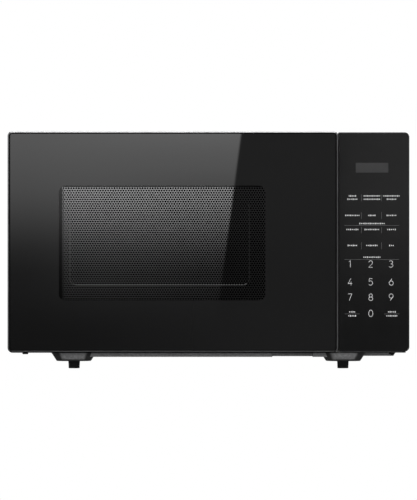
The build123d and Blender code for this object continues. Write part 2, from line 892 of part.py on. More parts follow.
# Base pan: drafted tray, foot pads, side flanges and vents
notch_span = (grip_left + notch_inset, grip_right - notch_inset)
with BuildPart() as base_pan:
    block((-inner_half, inner_half), (plate_front, rear_inner), (base_z, base_top))
    drafted((tray_left, tray_right), (tray_front_y, tray_rear_y), base_z, tray_depth, tray_radius)
    drafted(
        (0.0, tray_side_right),
        (tray_front_y + tray_setback, tray_rear_y),
        base_z,
        tray_depth,
        tray_side_radius,
    )
    block(
        notch_span,
        (tray_front_y - cut_margin, tray_front_y + notch_depth),
        (base_z - tray_depth - cut_margin, base_z),
        Mode.SUBTRACT,
    )
    for x, y in foot_spots:
        drafted(
            (x - pad_half - pad_depth * draft, x + pad_half + pad_depth * draft),
            (y - pad_half - pad_depth * draft, y + pad_half + pad_depth * draft),
            base_z,
            pad_depth,
            pad_radius + pad_depth * draft / 2,
        )
    inner = sheet * 1.2
    drafted(
        (tray_left + inner, tray_right - inner),
        (tray_front_y + inner, tray_rear_y - inner),
        base_top,
        tray_depth,
        tray_radius - inner,
        Mode.SUBTRACT,
    )
    drafted(
        (0.0, tray_side_right - inner),
        (tray_front_y + tray_setback + inner, tray_rear_y - inner),
        base_top,
        tray_depth,
        tray_side_radius - inner,
        Mode.SUBTRACT,
    )
    for x, y in foot_spots:
        drafted(
            (x - pad_half - pad_depth * draft + inner, x + pad_half + pad_depth * draft - inner),
            (y - pad_half - pad_depth * draft + inner, y + pad_half + pad_depth * draft - inner),
            base_top,
            pad_depth,
            pad_radius + pad_depth * draft / 2 - inner,
            Mode.SUBTRACT,
        )
    block(
        (notch_span[0] - sheet, notch_span[1] + sheet),
        (tray_front_y, tray_front_y + notch_depth + sheet),
        (base_z - tray_depth, base_top),
    )
    block(
        notch_span,
        (tray_front_y - cut_margin, tray_front_y + notch_depth),
        (base_z - tray_depth - cut_margin, base_z),
        Mode.SUBTRACT,
    )
    for x in (-inner_half, inner_half - sheet):
        block(
            (x, x + sheet),
            (plate_back + frame_flange + side_flange_gap, rear_inner - frame_flange - side_flange_gap),
            (base_z, base_top + side_flange_height),
        )
    with BuildSketch(Plane.XY.offset(base_z - tray_depth)):
        with Locations((transformer_x + base_vent_shift, tray_front_y + tray_setback + base_vent_from_tray)):
            with GridLocations(0, vent_pitch, 1, 4):
                SlotOverall(base_vent_length, vent_width)
    extrude(amount=sheet, mode=Mode.SUBTRACT)
    with BuildSketch(Plane.XY.offset(foot_height)):
        with Locations(*foot_spots):
            Circle(stem_radius + shaft_gap)
    extrude(amount=sheet, mode=Mode.SUBTRACT)
    with BuildSketch(Plane.XY.offset(base_z)):
        for x in base_screw_x:
            with Locations((x, plate_back + frame_flange / 2), (x, rear_inner - frame_flange / 2)):
                Circle(screw_radius + shaft_gap)
    extrude(amount=sheet, mode=Mode.SUBTRACT)
base_pan.part.label = "base_pan"

# Feet, pushed through the pads
with BuildPart() as feet:
    for x, y in foot_spots:
        with BuildSketch(facing(y)):
            with BuildLine():
                Polyline(
                    (x, 0),
                    (x + foot_radius - foot_taper, 0),
                    (x + foot_radius, foot_height),
                    (x + stem_radius, foot_height),
                    (x + stem_radius, foot_height + sheet),
                    (x + stem_radius + stem_lip, foot_height + sheet),
                    (x + stem_radius - stem_tip_inset, foot_height + sheet + stem_tip_height),
                    (x, foot_height + sheet + stem_tip_height),
                    close=True,
                )
            make_face()
        revolve(axis=Axis((x, y, 0), (0, 0, 1)))
feet.part.label = "feet"

# Rear panel with its vents
rear_screw_spots = [
    (x, z)
    for x in (-inner_half + rear_screw_inset, inner_half - rear_screw_inset)
    for z in (base_top + rear_screw_from_base, inner_top - rear_screw_from_top)
]
rear_screw_spots += [(x, inner_top - rear_screw_inset) for x in (-inner_half / 2, inner_half / 2)]
gland_spot = (inner_half - gland_from_side, base_top + gland_from_base)
with BuildPart() as rear_panel:
    with BuildSketch(facing(rear_face)):
        with Locations((0, (base_top + inner_top) / 2)):
            RectangleRounded(2 * inner_half, inner_top - base_top, inner_corner)
        with Locations((fan_x, fan_z)):
            with GridLocations(vent_pitch, vent_length + vent_row_gap, 9, 2):
                SlotOverall(vent_length, vent_width, rotation=90, mode=Mode.SUBTRACT)
        with Locations((cavity_left + rear_vent_from_left, cavity_top - rear_vent_from_roof)):
            with GridLocations(vent_pitch, 0, 10, 1):
                SlotOverall(vent_length, vent_width, rotation=90, mode=Mode.SUBTRACT)
        with Locations(gland_spot):
            Circle(gland_hole_radius, mode=Mode.SUBTRACT)
        with Locations(*rear_screw_spots):
            Circle(screw_radius + shaft_gap, mode=Mode.SUBTRACT)
    extrude(amount=sheet)
    block(
        (-inner_half + inner_corner, inner_half - inner_corner),
        (rear_inner - frame_flange, rear_inner),
        (base_top, base_top + sheet),
    )
    for x in base_screw_x:
        with BuildSketch(Plane.XY.offset(base_top)):
            with Locations((x, rear_inner - frame_flange / 2)):
                Circle(screw_radius + shaft_gap)
        extrude(amount=sheet, mode=Mode.SUBTRACT)
rear_panel.part.label = "rear_panel"

# Outer wrapper: sides and top in one sheet, folded in behind the rear panel
with BuildPart() as outer_wrapper:
    with BuildSketch(facing(rear_face + sheet)) as wrapper_outline:
        with Locations((0, (base_z + body_top) / 2)):
            Rectangle(2 * body_half, body_top - base_z)
        fillet(wrapper_outline.vertices().group_by(Axis.Y)[-1], wrapper_radius)
    extrude(amount=rear_face + sheet - plate_front)
    with BuildSketch(facing(rear_face)) as wrapper_inside:
        with Locations((0, (base_z + body_top - sheet) / 2)):
            Rectangle(2 * (body_half - sheet), body_top - sheet - base_z)
        fillet(wrapper_inside.vertices().group_by(Axis.Y)[-1], wrapper_radius - sheet)
    extrude(amount=rear_face - plate_front, mode=Mode.SUBTRACT)
    block(
        (-body_half + return_flange, body_half - return_flange),
        (rear_face, rear_face + sheet),
        (base_z, body_top - return_flange),
        Mode.SUBTRACT,
    )
    with BuildSketch(facing(rear_face + sheet)):
        with Locations(*rear_screw_spots):
            Circle(screw_radius + shaft_gap)
    extrude(amount=sheet, mode=Mode.SUBTRACT)
    with BuildSketch(Plane.YZ.offset(body_half - sheet)):
        with Locations((rear_y - right_vent_from_back, right_vent_z)):
            with GridLocations(vent_pitch, vent_length + vent_row_gap, 12, 2):
                SlotOverall(vent_length, vent_width, rotation=90)
    extrude(amount=sheet, mode=Mode.SUBTRACT)
    with BuildSketch(Plane.YZ.offset(-body_half)):
        with Locations((rear_y - left_vent_from_back, overall_height - left_vent_from_top)):
            with GridLocations(vent_pitch, 0, 12, 1):
                SlotOverall(vent_length, vent_width, rotation=90)
    extrude(amount=sheet, mode=Mode.SUBTRACT)
outer_wrapper.part.label = "outer_wrapper"

# Screws of the rear panel and of the base
base_screw_spots = [
    (x, y)
    for x in base_screw_x
    for y in (plate_back + frame_flange / 2, rear_inner - frame_flange / 2)
]
with BuildPart() as cabinet_screws:
    with BuildSketch(facing(rear_face + sheet + screw_head_height)):
        with Locations(*rear_screw_spots):
            Circle(screw_head_radius)
    extrude(amount=screw_head_height)
    with BuildSketch(facing(rear_face + sheet)):
        with Locations(*rear_screw_spots):
            Circle(screw_radius)
    extrude(amount=screw_length)
    with BuildSketch(Plane.XY.offset(base_z - screw_head_height)):
        with Locations(*base_screw_spots):
            Circle(screw_head_radius)
    extrude(amount=screw_head_height)
    with BuildSketch(Plane.XY.offset(base_z)):
        with Locations(*base_screw_spots):
            Circle(screw_radius)
    extrude(amount=screw_length)
cabinet_screws.part.label = "cabinet_screws"

# Gland for the mains lead, in the rear panel
with BuildPart() as cord_gland:
    for depth, length, radius in (
        (rear_y, gland_projection, gland_cap_radius),
        (rear_face, sheet, gland_hole_radius - shaft_gap),
        (rear_inner, gland_nut_length, gland_nut_radius),
    ):
        with BuildSketch(facing(depth)):
            with Locations(gland_spot):
                Circle(radius)
                Circle(gland_bore, mode=Mode.SUBTRACT)
        extrude(amount=length)
cord_gland.part.label = "cord_gland"

# Control panel housing, open at the back
with BuildPart() as panel_housing:
    with BuildSketch(facing(plate_front)) as housing_outline:
        with Locations((panel_x, panel_z)):
            Rectangle(panel_width, panel_height)
        fillet(housing_outline.vertices().group_by(Axis.X)[-1], corner_radius)
    extrude(amount=plate_front - housing_front)
    with BuildSketch(facing(plate_front)) as housing_inside:
        with Locations((panel_x, panel_z)):
            Rectangle(panel_width - 2 * wall, panel_height - 2 * wall)
        fillet(housing_inside.vertices().group_by(Axis.X)[-1], corner_radius - wall)
    extrude(amount=plate_front - housing_wall_back, mode=Mode.SUBTRACT)
    block(
        (panel_left + membrane_border, panel_right - membrane_border),
        (housing_front, housing_front + membrane_thickness),
        (frame_bottom + membrane_border, frame_top - membrane_border),
        Mode.SUBTRACT,
    )
    block(
        (display_x - display_width / 2 + display_ledge, display_x + display_width / 2 - display_ledge),
        (housing_front, housing_wall_back),
        (display_z - display_height / 2 + display_ledge, display_z + display_height / 2 - display_ledge),
        Mode.SUBTRACT,
    )
    with BuildSketch(facing(board_front)):
        with Locations((panel_x, panel_z)):
            with GridLocations(
                panel_width - 2 * board_post_inset_x,
                panel_height - 2 * board_post_inset_z,
                2,
                2,
            ):
                Circle(board_post_radius)
    extrude(amount=board_front - housing_wall_back)
panel_housing.part.label = "panel_housing"

# Touch membrane in the recess of the housing
with BuildPart() as keypad_membrane:
    block(
        (panel_left + membrane_border + fit_gap, panel_right - membrane_border - fit_gap),
        (housing_front, housing_front + membrane_thickness),
        (frame_bottom + membrane_border + fit_gap, frame_top - membrane_border - fit_gap),
    )
    block(
        (display_x - display_width / 2, display_x + display_width / 2),
        (housing_front, housing_front + membrane_thickness),
        (display_z - display_height / 2, display_z + display_height / 2),
        Mode.SUBTRACT,
    )
keypad_membrane.part.label = "keypad_membrane"

# Printed front of the panel, with a hole for the display lens
with BuildPart() as panel_overlay:
    with BuildSketch(facing(housing_front)) as overlay_outline:
        with Locations((panel_x, panel_z)):
            Rectangle(panel_width, panel_height)
        fillet(overlay_outline.vertices().group_by(Axis.X)[-1], corner_radius)
    extrude(amount=overlay_thickness)
    rim = panel_overlay.faces().sort_by(Axis.Y)[0].edges().sort_by(Axis.X)[1:]
    fillet(rim, overlay_round)
    with BuildSketch(facing(housing_front)):
        with Locations((display_x, display_z)):
            Rectangle(display_width + shaft_gap, display_height + shaft_gap)
    extrude(amount=overlay_thickness, mode=Mode.SUBTRACT)
panel_overlay.part.label = "panel_overlay"

with BuildPart() as display_lens:
    with BuildSketch(facing(housing_front)):
        with Locations((display_x, display_z)):
            Rectangle(display_width, display_height)
    extrude(amount=overlay_thickness)
display_lens.part.label = "display_lens"

# Control board on the housing's posts, with its display block and larger parts
with BuildPart() as control_board:
    block(
        (panel_left + wall + board_side_gap, panel_right - wall - board_side_gap),
        (board_front, board_front + board_thickness),
        (frame_bottom + board_from_bottom, frame_top - board_from_top),
    )
    for x, z, width, height, depth in (
        (panel_x - relay_offset_x, panel_z - relay_offset_z, relay_width, relay_height, relay_depth),
        (
            panel_x + small_relay_offset_x,
            panel_z - relay_offset_z,
            small_relay_width,
            small_relay_height,
            small_relay_depth,
        ),
        (panel_x, panel_z + plug_offset_z, plug_width, plug_height, plug_depth),
    ):
        block(
            (x - width / 2, x + width / 2),
            (board_front + board_thickness, board_front + board_thickness + depth),
            (z - height / 2, z + height / 2),
        )
control_board.part.label = "control_board"

with BuildPart() as display_module:
    block(
        (
            display_x - display_width / 2 + display_block_border,
            display_x + display_width / 2 - display_block_border,
        ),
        (housing_wall_back + display_block_gap, board_front),
        (
            display_z - display_height / 2 - display_block_border,
            display_z + display_height / 2 + display_block_border,
        ),
    )
display_module.part.label = "display_module"

# Latch board behind the front plate, with a keeper under each hook
web_left = hook_x + hook_thickness / 2 + arc_slack + latch_web_gap
latch_span = (lower_hook_z - latch_board_end, upper_hook_z + latch_board_end)
with BuildPart() as latch_board:
    block((wall_outside + latch_wall_gap, web_left + wall), (plate_back, plate_back + wall), latch_span)
    block((web_left, web_left + wall), (plate_back, hook_tip + latch_web_reach), latch_span)
    for z in hook_levels:
        low = z - hook_height / 2 - barb_depth
        block(
            (hook_x - hook_thickness / 2 - running_gap, web_left + latch_slot_lap),
            (plate_back, plate_back + wall),
            (low - hook_slot_gap, z + hook_height / 2 + latch_travel + hook_slot_gap),
            Mode.SUBTRACT,
        )
        block(
            (hook_x - keeper_half, web_left),
            (plate_back, hook_tip),
            (low - keeper_gap - keeper_height, low - keeper_gap),
        )
latch_board.part.label = "latch_board"

# Interlock switches on the web of the latch board, plungers towards the hooks
switch_front = hook_tip + switch_gap
switch_back = switch_front + switch_depth
with BuildPart() as interlock_switches:
    for z, reach in (
        (upper_hook_z, plunger_reach),
        (upper_hook_z - switch_spacing, monitor_reach),
        (lower_hook_z, plunger_reach),
    ):
        block(
            (web_left - switch_width, web_left),
            (switch_front, switch_back),
            (z - switch_half_height, z + switch_half_height),
        )
        block(
            (web_left - plunger_far, web_left - plunger_near),
            (switch_front - reach, switch_front),
            (z - plunger_half, z + plunger_half),
        )
interlock_switches.part.label = "interlock_switches"

# Waveguide: a sheet duct from the magnetron to the cavity wall
with BuildPart() as waveguide:
    low_y = waveguide_y - waveguide_length / 2
    high_y = waveguide_y + waveguide_length / 2
    block((wall_outside, wall_outside + waveguide_reach), (low_y, high_y), (waveguide_z, magnetron_z))
    block(
        (wall_outside, wall_outside + waveguide_reach - sheet),
        (low_y + sheet, high_y - sheet),
        (waveguide_z + sheet, magnetron_z - sheet),
        Mode.SUBTRACT,
    )
    with BuildSketch(Plane.XY.offset(magnetron_z - sheet)):
        with Locations((magnetron_x, waveguide_y)):
            Circle(antenna_radius + antenna_hole_gap)
    extrude(amount=sheet, mode=Mode.SUBTRACT)
waveguide.part.label = "waveguide"

# Magnetron: yoke, magnets, finned anode, antenna and filter box
with BuildPart() as magnetron_yoke:
    half_x = magnetron_width / 2
    half_y = magnetron_depth / 2
    block(
        (magnetron_x - half_x, magnetron_x + half_x),
        (waveguide_y - half_y, waveguide_y + half_y),
        (magnetron_z, yoke_top),
    )
    block(
        (magnetron_x - half_x + yoke_wall, magnetron_x + half_x - yoke_wall),
        (waveguide_y - half_y, waveguide_y + half_y),
        (magnetron_z + yoke_wall, yoke_top - yoke_wall),
        Mode.SUBTRACT,
    )
    with BuildSketch(Plane.XY.offset(magnetron_z)):
        with Locations((magnetron_x, waveguide_y)):
            Circle(antenna_radius + fit_gap)
    extrude(amount=yoke_wall, mode=Mode.SUBTRACT)
magnetron_yoke.part.label = "magnetron_yoke"

magnet_height = yoke_height / 6
with BuildPart() as magnetron_magnets:
    for bottom in (magnetron_z + yoke_wall, yoke_top - yoke_wall - magnet_height):
        with BuildSketch(Plane.XY.offset(bottom)):
            with Locations((magnetron_x, waveguide_y)):
                Circle(magnet_radius)
                Circle(magnet_bore, mode=Mode.SUBTRACT)
        extrude(amount=magnet_height)
magnetron_magnets.part.label = "magnetron_magnets"

anode_low = magnetron_z + yoke_wall + magnet_height
anode_high = yoke_top - yoke_wall - magnet_height
with BuildPart() as magnetron_anode:
    with BuildSketch(Plane.XY.offset(anode_low)):
        with Locations((magnetron_x, waveguide_y)):
            Circle(anode_radius)
    extrude(amount=anode_high - anode_low)
    for i in range(fin_count):
        z = anode_low + (i + 0.5) * (anode_high - anode_low) / fin_count
        block(
            (magnetron_x - magnetron_width / 2 + yoke_wall, magnetron_x + magnetron_width / 2 - yoke_wall),
            (waveguide_y - magnetron_depth / 2 + fin_inset, waveguide_y + magnetron_depth / 2 - fin_inset),
            (z - fin_thickness / 2, z + fin_thickness / 2),
        )
magnetron_anode.part.label = "magnetron_anode"

with BuildPart() as magnetron_antenna:
    with BuildSketch(Plane.XY.offset(anode_low)):
        with Locations((magnetron_x, waveguide_y)):
            Circle(antenna_radius)
    extrude(amount=magnetron_z - antenna_length - anode_low)
    fillet(magnetron_antenna.edges().sort_by(Axis.Z)[0], antenna_round)
magnetron_antenna.part.label = "magnetron_antenna"

with BuildPart() as magnetron_filter:
    half_x = filter_width / 2
    half_y = filter_depth / 2
    block(
        (magnetron_x - half_x, magnetron_x + half_x),
        (waveguide_y - half_y, waveguide_y + half_y),
        (yoke_top, yoke_top + filter_height),
    )
    block(
        (magnetron_x - half_x + sheet, magnetron_x + half_x - sheet),
        (waveguide_y - half_y + sheet, waveguide_y + half_y - sheet),
        (yoke_top, yoke_top + filter_height - sheet),
        Mode.SUBTRACT,
    )
magnetron_filter.part.label = "magnetron_filter"

# High voltage transformer on the floor of the tray
window_wide = (core_width - 4 * limb) / 2
with BuildPart() as transformer_core:
    block(
        (transformer_x - core_width / 2, transformer_x + core_width / 2),
        (transformer_y - core_stack / 2, transformer_y + core_stack / 2),
        (tray_floor, tray_floor + core_height),
    )
    for x in (transformer_x - limb - window_wide, transformer_x + limb):
        block(
            (x, x + window_wide),
            (transformer_y - core_stack / 2, transformer_y + core_stack / 2),
            (tray_floor + limb, tray_floor + core_height - limb),
            Mode.SUBTRACT,
        )
transformer_core.part.label = "transformer_core"

coil_height = (core_height - 2 * (limb + coil_end_gap) - coil_spacing) / 2
with BuildPart() as transformer_coils:
    for bottom in (
        tray_floor + limb + coil_end_gap,
        tray_floor + core_height - limb - coil_end_gap - coil_height,
    ):
        with BuildSketch(Plane.XY.offset(bottom)):
            with Locations((transformer_x, transformer_y)):
                RectangleRounded(
                    2 * (limb + window_wide - fit_gap),
                    core_stack + 2 * coil_overhang,
                    coil_round,
                )
                Rectangle(2 * (limb + fit_gap), core_stack + 2 * fit_gap, mode=Mode.SUBTRACT)
        extrude(amount=coil_height)
transformer_coils.part.label = "transformer_coils"

# High voltage capacitor in its strap, and the diode beside it
capacitor_z = tray_floor + strap_thickness + capacitor_height / 2
capacitor_left = wall_outside + capacitor_from_wall
with BuildPart() as hv_capacitor:
    with BuildSketch(Plane.YZ.offset(capacitor_left)):
        with Locations((capacitor_y, capacitor_z)):
            SlotOverall(capacitor_width, capacitor_height)
    extrude(amount=capacitor_length)
    for y in (capacitor_y - terminal_offset, capacitor_y + terminal_offset):
        block(
            (capacitor_left + capacitor_length, capacitor_left + capacitor_length + terminal_length),
            (y - terminal_width / 2, y + terminal_width / 2),
            (capacitor_z - terminal_thickness / 2, capacitor_z + terminal_thickness / 2),
        )
hv_capacitor.part.label = "hv_capacitor"

with BuildPart() as capacitor_strap:
    with BuildSketch(Plane.YZ.offset(capacitor_left + capacitor_length / 2 - strap_width / 2)):
        with Locations((capacitor_y, capacitor_z)):
            SlotOverall(capacitor_width + 2 * strap_thickness, capacitor_height + 2 * strap_thickness)
        with Locations((capacitor_y, tray_floor + strap_thickness / 2)):
            Rectangle(capacitor_width + 2 * strap_foot, strap_thickness)
        with Locations((capacitor_y, capacitor_z)):
            SlotOverall(capacitor_width + shaft_gap, capacitor_height + shaft_gap, mode=Mode.SUBTRACT)
    extrude(amount=strap_width)
capacitor_strap.part.label = "capacitor_strap"

diode_left = wall_outside + diode_from_wall
diode_right = diode_left + diode_length
diode_front = capacitor_y + diode_from_capacitor
diode_back = diode_front + diode_width
tag_top = tray_floor + diode_tag_thickness
with BuildPart() as hv_diode:
    block((diode_left, diode_right), (diode_front, diode_back), (tray_floor, tag_top))
    block(
        (diode_left + diode_tag_length, diode_right - diode_tag_length),
        (diode_front + diode_inset, diode_back - diode_inset),
        (tag_top, tag_top + diode_height),
    )
hv_diode.part.label = "hv_diode"

# Cooling fan: motor on the rear panel, shaft, impeller and shroud
fan_front = fan_back - fan_hub_length - fan_hub_gap
with BuildPart() as fan_motor:
    half = fan_motor_width / 2
    block((fan_x - half, fan_x + half), (fan_back, fan_back + fan_motor_stack), (fan_z - half, fan_z + half))
    block(
        (fan_x - half + fan_bracket_inset, fan_x + half - fan_bracket_inset),
        (fan_back - fan_bracket_front, rear_inner),
        (fan_z - half - fan_bracket_drop, fan_z - half + fan_bracket_rise),
    )
    with BuildSketch(facing(fan_back + fan_motor_stack)):
        with Locations((fan_x, fan_z)):
            Circle(fan_shaft_radius + shaft_gap)
    extrude(amount=fan_motor_stack, mode=Mode.SUBTRACT)
fan_motor.part.label = "fan_motor"

with BuildPart() as fan_shaft:
    with BuildSketch(facing(fan_back + fan_motor_stack)):
        with Locations((fan_x, fan_z)):
            Circle(fan_shaft_radius)
    extrude(amount=fan_back + fan_motor_stack - fan_front - fan_hub_roof)
fan_shaft.part.label = "fan_shaft"

with BuildPart() as fan_blade:
    with BuildSketch(facing(fan_front + fan_hub_length)):
        with Locations((fan_x, fan_z)):
            Circle(fan_hub_radius)
    extrude(amount=fan_hub_length)
    with Locations(Plane((fan_x, fan_front + fan_hub_length / 2, fan_z), (1, 0, 0), (0, -1, 0)).location):
        with PolarLocations((fan_radius + fan_hub_radius - blade_root) / 2, fan_blades):
            Box(
                fan_radius - fan_hub_radius + blade_root,
                blade_width,
                blade_thickness,
                rotation=(fan_pitch, 0, 0),
            )
    with BuildSketch(facing(fan_front + fan_hub_length)):
        with Locations((fan_x, fan_z)):
            Circle(fan_shaft_radius + shaft_gap)
    extrude(amount=fan_hub_length - fan_hub_roof, mode=Mode.SUBTRACT)
fan_blade.part.label = "fan_blade"

shroud_half = fan_radius + shroud_gap + shroud_rim
shroud_post_spacing = 2 * (shroud_half - shroud_post_inset)
with BuildPart() as fan_shroud:
    with BuildSketch(facing(fan_front + fan_hub_length / 2)):
        with Locations((fan_x, fan_z)):
            RectangleRounded(2 * shroud_half, 2 * shroud_half, shroud_corner)
            Circle(fan_radius + shroud_gap, mode=Mode.SUBTRACT)
    extrude(amount=shroud_thickness)
    with BuildSketch(facing(rear_inner)):
        with Locations((fan_x, fan_z)):
            with GridLocations(shroud_post_spacing, shroud_post_spacing, 2, 2):
                Circle(shroud_post_radius)
    extrude(amount=rear_inner - fan_front - fan_hub_length / 2)
fan_shroud.part.label = "fan_shroud"

# Oven lamp on the cavity wall
lamp_shelf = lamp_z + lamp_plate_low
lamp_end = wall_outside + lamp_bracket_reach
with BuildPart() as lamp_holder:
    block(
        (wall_outside, wall_outside + lamp_bracket),
        (lamp_y - lamp_plate_half, lamp_y + lamp_plate_half),
        (lamp_shelf, lamp_shelf + lamp_plate_height),
    )
    block(
        (wall_outside, lamp_end),
        (lamp_y - lamp_bracket_half, lamp_y + lamp_bracket_half),
        (lamp_shelf, lamp_shelf + lamp_bracket),
    )
    block(
        (lamp_end - lamp_bracket, lamp_end),
        (lamp_y - lamp_bracket_half, lamp_y + lamp_bracket_half),
        (lamp_z - lamp_bracket_drop, lamp_shelf + lamp_bracket),
    )
    with BuildSketch(Plane.YZ.offset(lamp_end - lamp_bracket - lamp_socket_length)):
        with Locations((lamp_y, lamp_z)):
            Circle(lamp_socket_radius)
    extrude(amount=lamp_socket_length)
lamp_holder.part.label = "lamp_holder"

with BuildPart() as lamp_bulb:
    with BuildSketch(Plane.YZ.offset(wall_outside + lamp_wall_gap)):
        with Locations((lamp_y, lamp_z)):
            Circle(lamp_radius)
    extrude(amount=lamp_length)
    fillet(lamp_bulb.edges().sort_by(Axis.X)[0], lamp_round)
    with BuildSketch(Plane.YZ.offset(wall_outside + lamp_wall_gap + lamp_length)):
        with Locations((lamp_y, lamp_z)):
            Circle(lamp_neck)
    extrude(amount=lamp_neck_length)
lamp_bulb.part.label = "lamp_bulb"

# Mains filter board on posts against the cavity wall
mains_front = switch_back + mains_board_gap
mains_top = cavity_top - mains_board_from_roof
mains_y = mains_front + mains_board_length / 2
mains_bottom = mains_top - mains_board_height
mains_z = (mains_bottom + mains_top) / 2
mains_face = wall_outside + mains_board_standoff + board_thickness
with BuildPart() as filter_board:
    block(
        (wall_outside + mains_board_standoff, mains_face),
        (mains_front, mains_front + mains_board_length),
        (mains_bottom, mains_top),
    )
    with BuildSketch(Plane.YZ.offset(wall_outside)):
        with Locations((mains_y, mains_z)):
            with GridLocations(
                mains_board_length - 2 * mains_post_inset,
                mains_board_height - 2 * mains_post_inset,
                2,
                2,
            ):
                Circle(mains_post_radius)
    extrude(amount=mains_board_standoff)
    with BuildSketch(Plane.YZ.offset(mains_face)):
        with Locations((mains_front + choke_coil_from_front, mains_bottom + choke_coil_from_bottom)):
            Circle(choke_coil_radius)
            Circle(choke_coil_bore, mode=Mode.SUBTRACT)
        with Locations((mains_front + fuse_from_front, mains_top - fuse_from_top)):
            Rectangle(fuse_length, fuse_height)
    extrude(amount=mains_part_height)
filter_board.part.label = "filter_board"

# Thermal cut-outs on the waveguide and on the cavity wall
with BuildPart() as thermal_cutouts:
    with BuildSketch(facing(low_y)):
        with Locations((magnetron_x, waveguide_z + waveguide_height / 2)):
            Circle(cutout_radius)
    extrude(amount=cutout_height)
    with BuildSketch(Plane.YZ.offset(wall_outside)):
        with Locations((mains_y, lamp_z + cutout_above_lamp)):
            Circle(cutout_radius)
    extrude(amount=cutout_height)
thermal_cutouts.part.label = "thermal_cutouts"

# Turntable motor under the cavity floor, its shaft and the coupler
motor_top = cavity_floor_z - sheet
with BuildPart() as turntable_motor:
    with BuildSketch(Plane.XY.offset(motor_top - turntable_motor_height)):
        with Locations((cavity_x, cavity_y)):
            Circle(turntable_motor_radius)
    extrude(amount=turntable_motor_height)
    with BuildSketch(Plane.XY.offset(motor_top - motor_ear_thickness)):
        with Locations((cavity_x, cavity_y)):
            SlotOverall(2 * turntable_motor_radius + motor_ear_reach, motor_ear_width)
    extrude(amount=motor_ear_thickness)
    with BuildSketch(Plane.XY.offset(motor_top - motor_shaft_depth)):
        with Locations((cavity_x, cavity_y)):
            Circle(turntable_shaft_radius + shaft_gap)
    extrude(amount=motor_shaft_depth, mode=Mode.SUBTRACT)
turntable_motor.part.label = "turntable_motor"

coupler_low = cavity_floor_z + coupler_floor_gap
coupler_top = plate_z - fit_gap
shaft_low = motor_top - motor_shaft_depth + fit_gap
with BuildPart() as turntable_shaft:
    with BuildSketch(Plane.XY.offset(shaft_low)):
        with Locations((cavity_x, cavity_y)):
            Circle(turntable_shaft_radius)
    extrude(amount=coupler_top - coupler_roof - shaft_low)
turntable_shaft.part.label = "turntable_shaft"

with BuildPart() as turntable_coupler:
    with BuildSketch(Plane.XY.offset(coupler_low)):
        with Locations((cavity_x, cavity_y)):
            Circle(coupler_radius)
    extrude(amount=coupler_top - coupler_low)
    with BuildSketch(Plane.XY.offset(coupler_top - lug_height)):
        with Locations((cavity_x, cavity_y)):
            with PolarLocations(coupler_arm_length / 2, 3):
                Rectangle(coupler_arm_length, coupler_arm_width)
    extrude(amount=lug_height)
    with BuildSketch(Plane.XY.offset(coupler_low)):
        with Locations((cavity_x, cavity_y)):
            Circle(turntable_shaft_radius + shaft_gap)
    extrude(amount=coupler_top - coupler_roof - coupler_low, mode=Mode.SUBTRACT)
turntable_coupler.part.label = "turntable_coupler"

# Roller ring with three stub axles, and the rollers on them
roller_inner = ring_radius + roller_offset
axle_end = roller_inner + roller_width + roller_end_gap
with BuildPart() as roller_ring:
    with BuildSketch(Plane.XY.offset(axle_z - ring_thickness / 2)):
        with Locations((cavity_x, cavity_y)):
            Circle(ring_radius)
            Circle(ring_radius - ring_width, mode=Mode.SUBTRACT)
    extrude(amount=ring_thickness)
    for i in range(3):
        angle = radians(90 + 120 * i)
        outward = (cos(angle), sin(angle), 0)
        for start, length, radius in (
            (ring_radius - axle_collar_inset, axle_collar_length, axle_radius + axle_collar),
            (ring_radius, axle_end - ring_radius, axle_radius),
            (axle_end, axle_cap_length, axle_radius + axle_cap),
        ):
            foot = (cavity_x + start * outward[0], cavity_y + start * outward[1], axle_z)
            with BuildSketch(Plane(foot, (0, 0, 1), outward)):
                Circle(radius)
            extrude(amount=length)
roller_ring.part.label = "roller_ring"

rollers = []
for i in range(3):
    angle = radians(90 + 120 * i)
    outward = (cos(angle), sin(angle), 0)
    inner_face = (cavity_x + roller_inner * outward[0], cavity_y + roller_inner * outward[1], axle_z)
    with BuildPart() as roller:
        with BuildSketch(Plane(inner_face, (0, 0, 1), outward)):
            Circle(roller_radius)
            Circle(axle_radius + shaft_gap, mode=Mode.SUBTRACT)
        extrude(amount=roller_width)
        fillet(roller.edges().filter_by(GeomType.CIRCLE).sort_by(SortBy.RADIUS)[-2:], roller_round)
    roller.part.label = f"roller_{i + 1}"
    rollers.append(roller)

# Glass turntable with its raised rim and three driving lugs
with BuildPart() as glass_turntable:
    with BuildSketch(facing(cavity_y)):
        with BuildLine():
            Polyline(
                (cavity_x, plate_z),
                (cavity_x + plate_base_radius, plate_z),
                (cavity_x + plate_radius, plate_z + plate_rim_height - plate_edge_height),
                (cavity_x + plate_radius, plate_z + plate_rim_height),
                (cavity_x + plate_radius - plate_edge_width, plate_z + plate_rim_height),
                (cavity_x + plate_base_radius, plate_z + plate_thickness),
                (cavity_x, plate_z + plate_thickness),
                close=True,
            )
        make_face()
    revolve(axis=Axis((cavity_x, cavity_y, 0), (0, 0, 1)))
    with BuildSketch(Plane.XY.offset(plate_z - lug_height + lug_root)):
        with Locations((cavity_x, cavity_y)):
            with PolarLocations(lug_circle_radius, 3, start_angle=60):
                Circle(lug_radius)
    extrude(amount=lug_height)
glass_turntable.part.label = "glass_turntable"

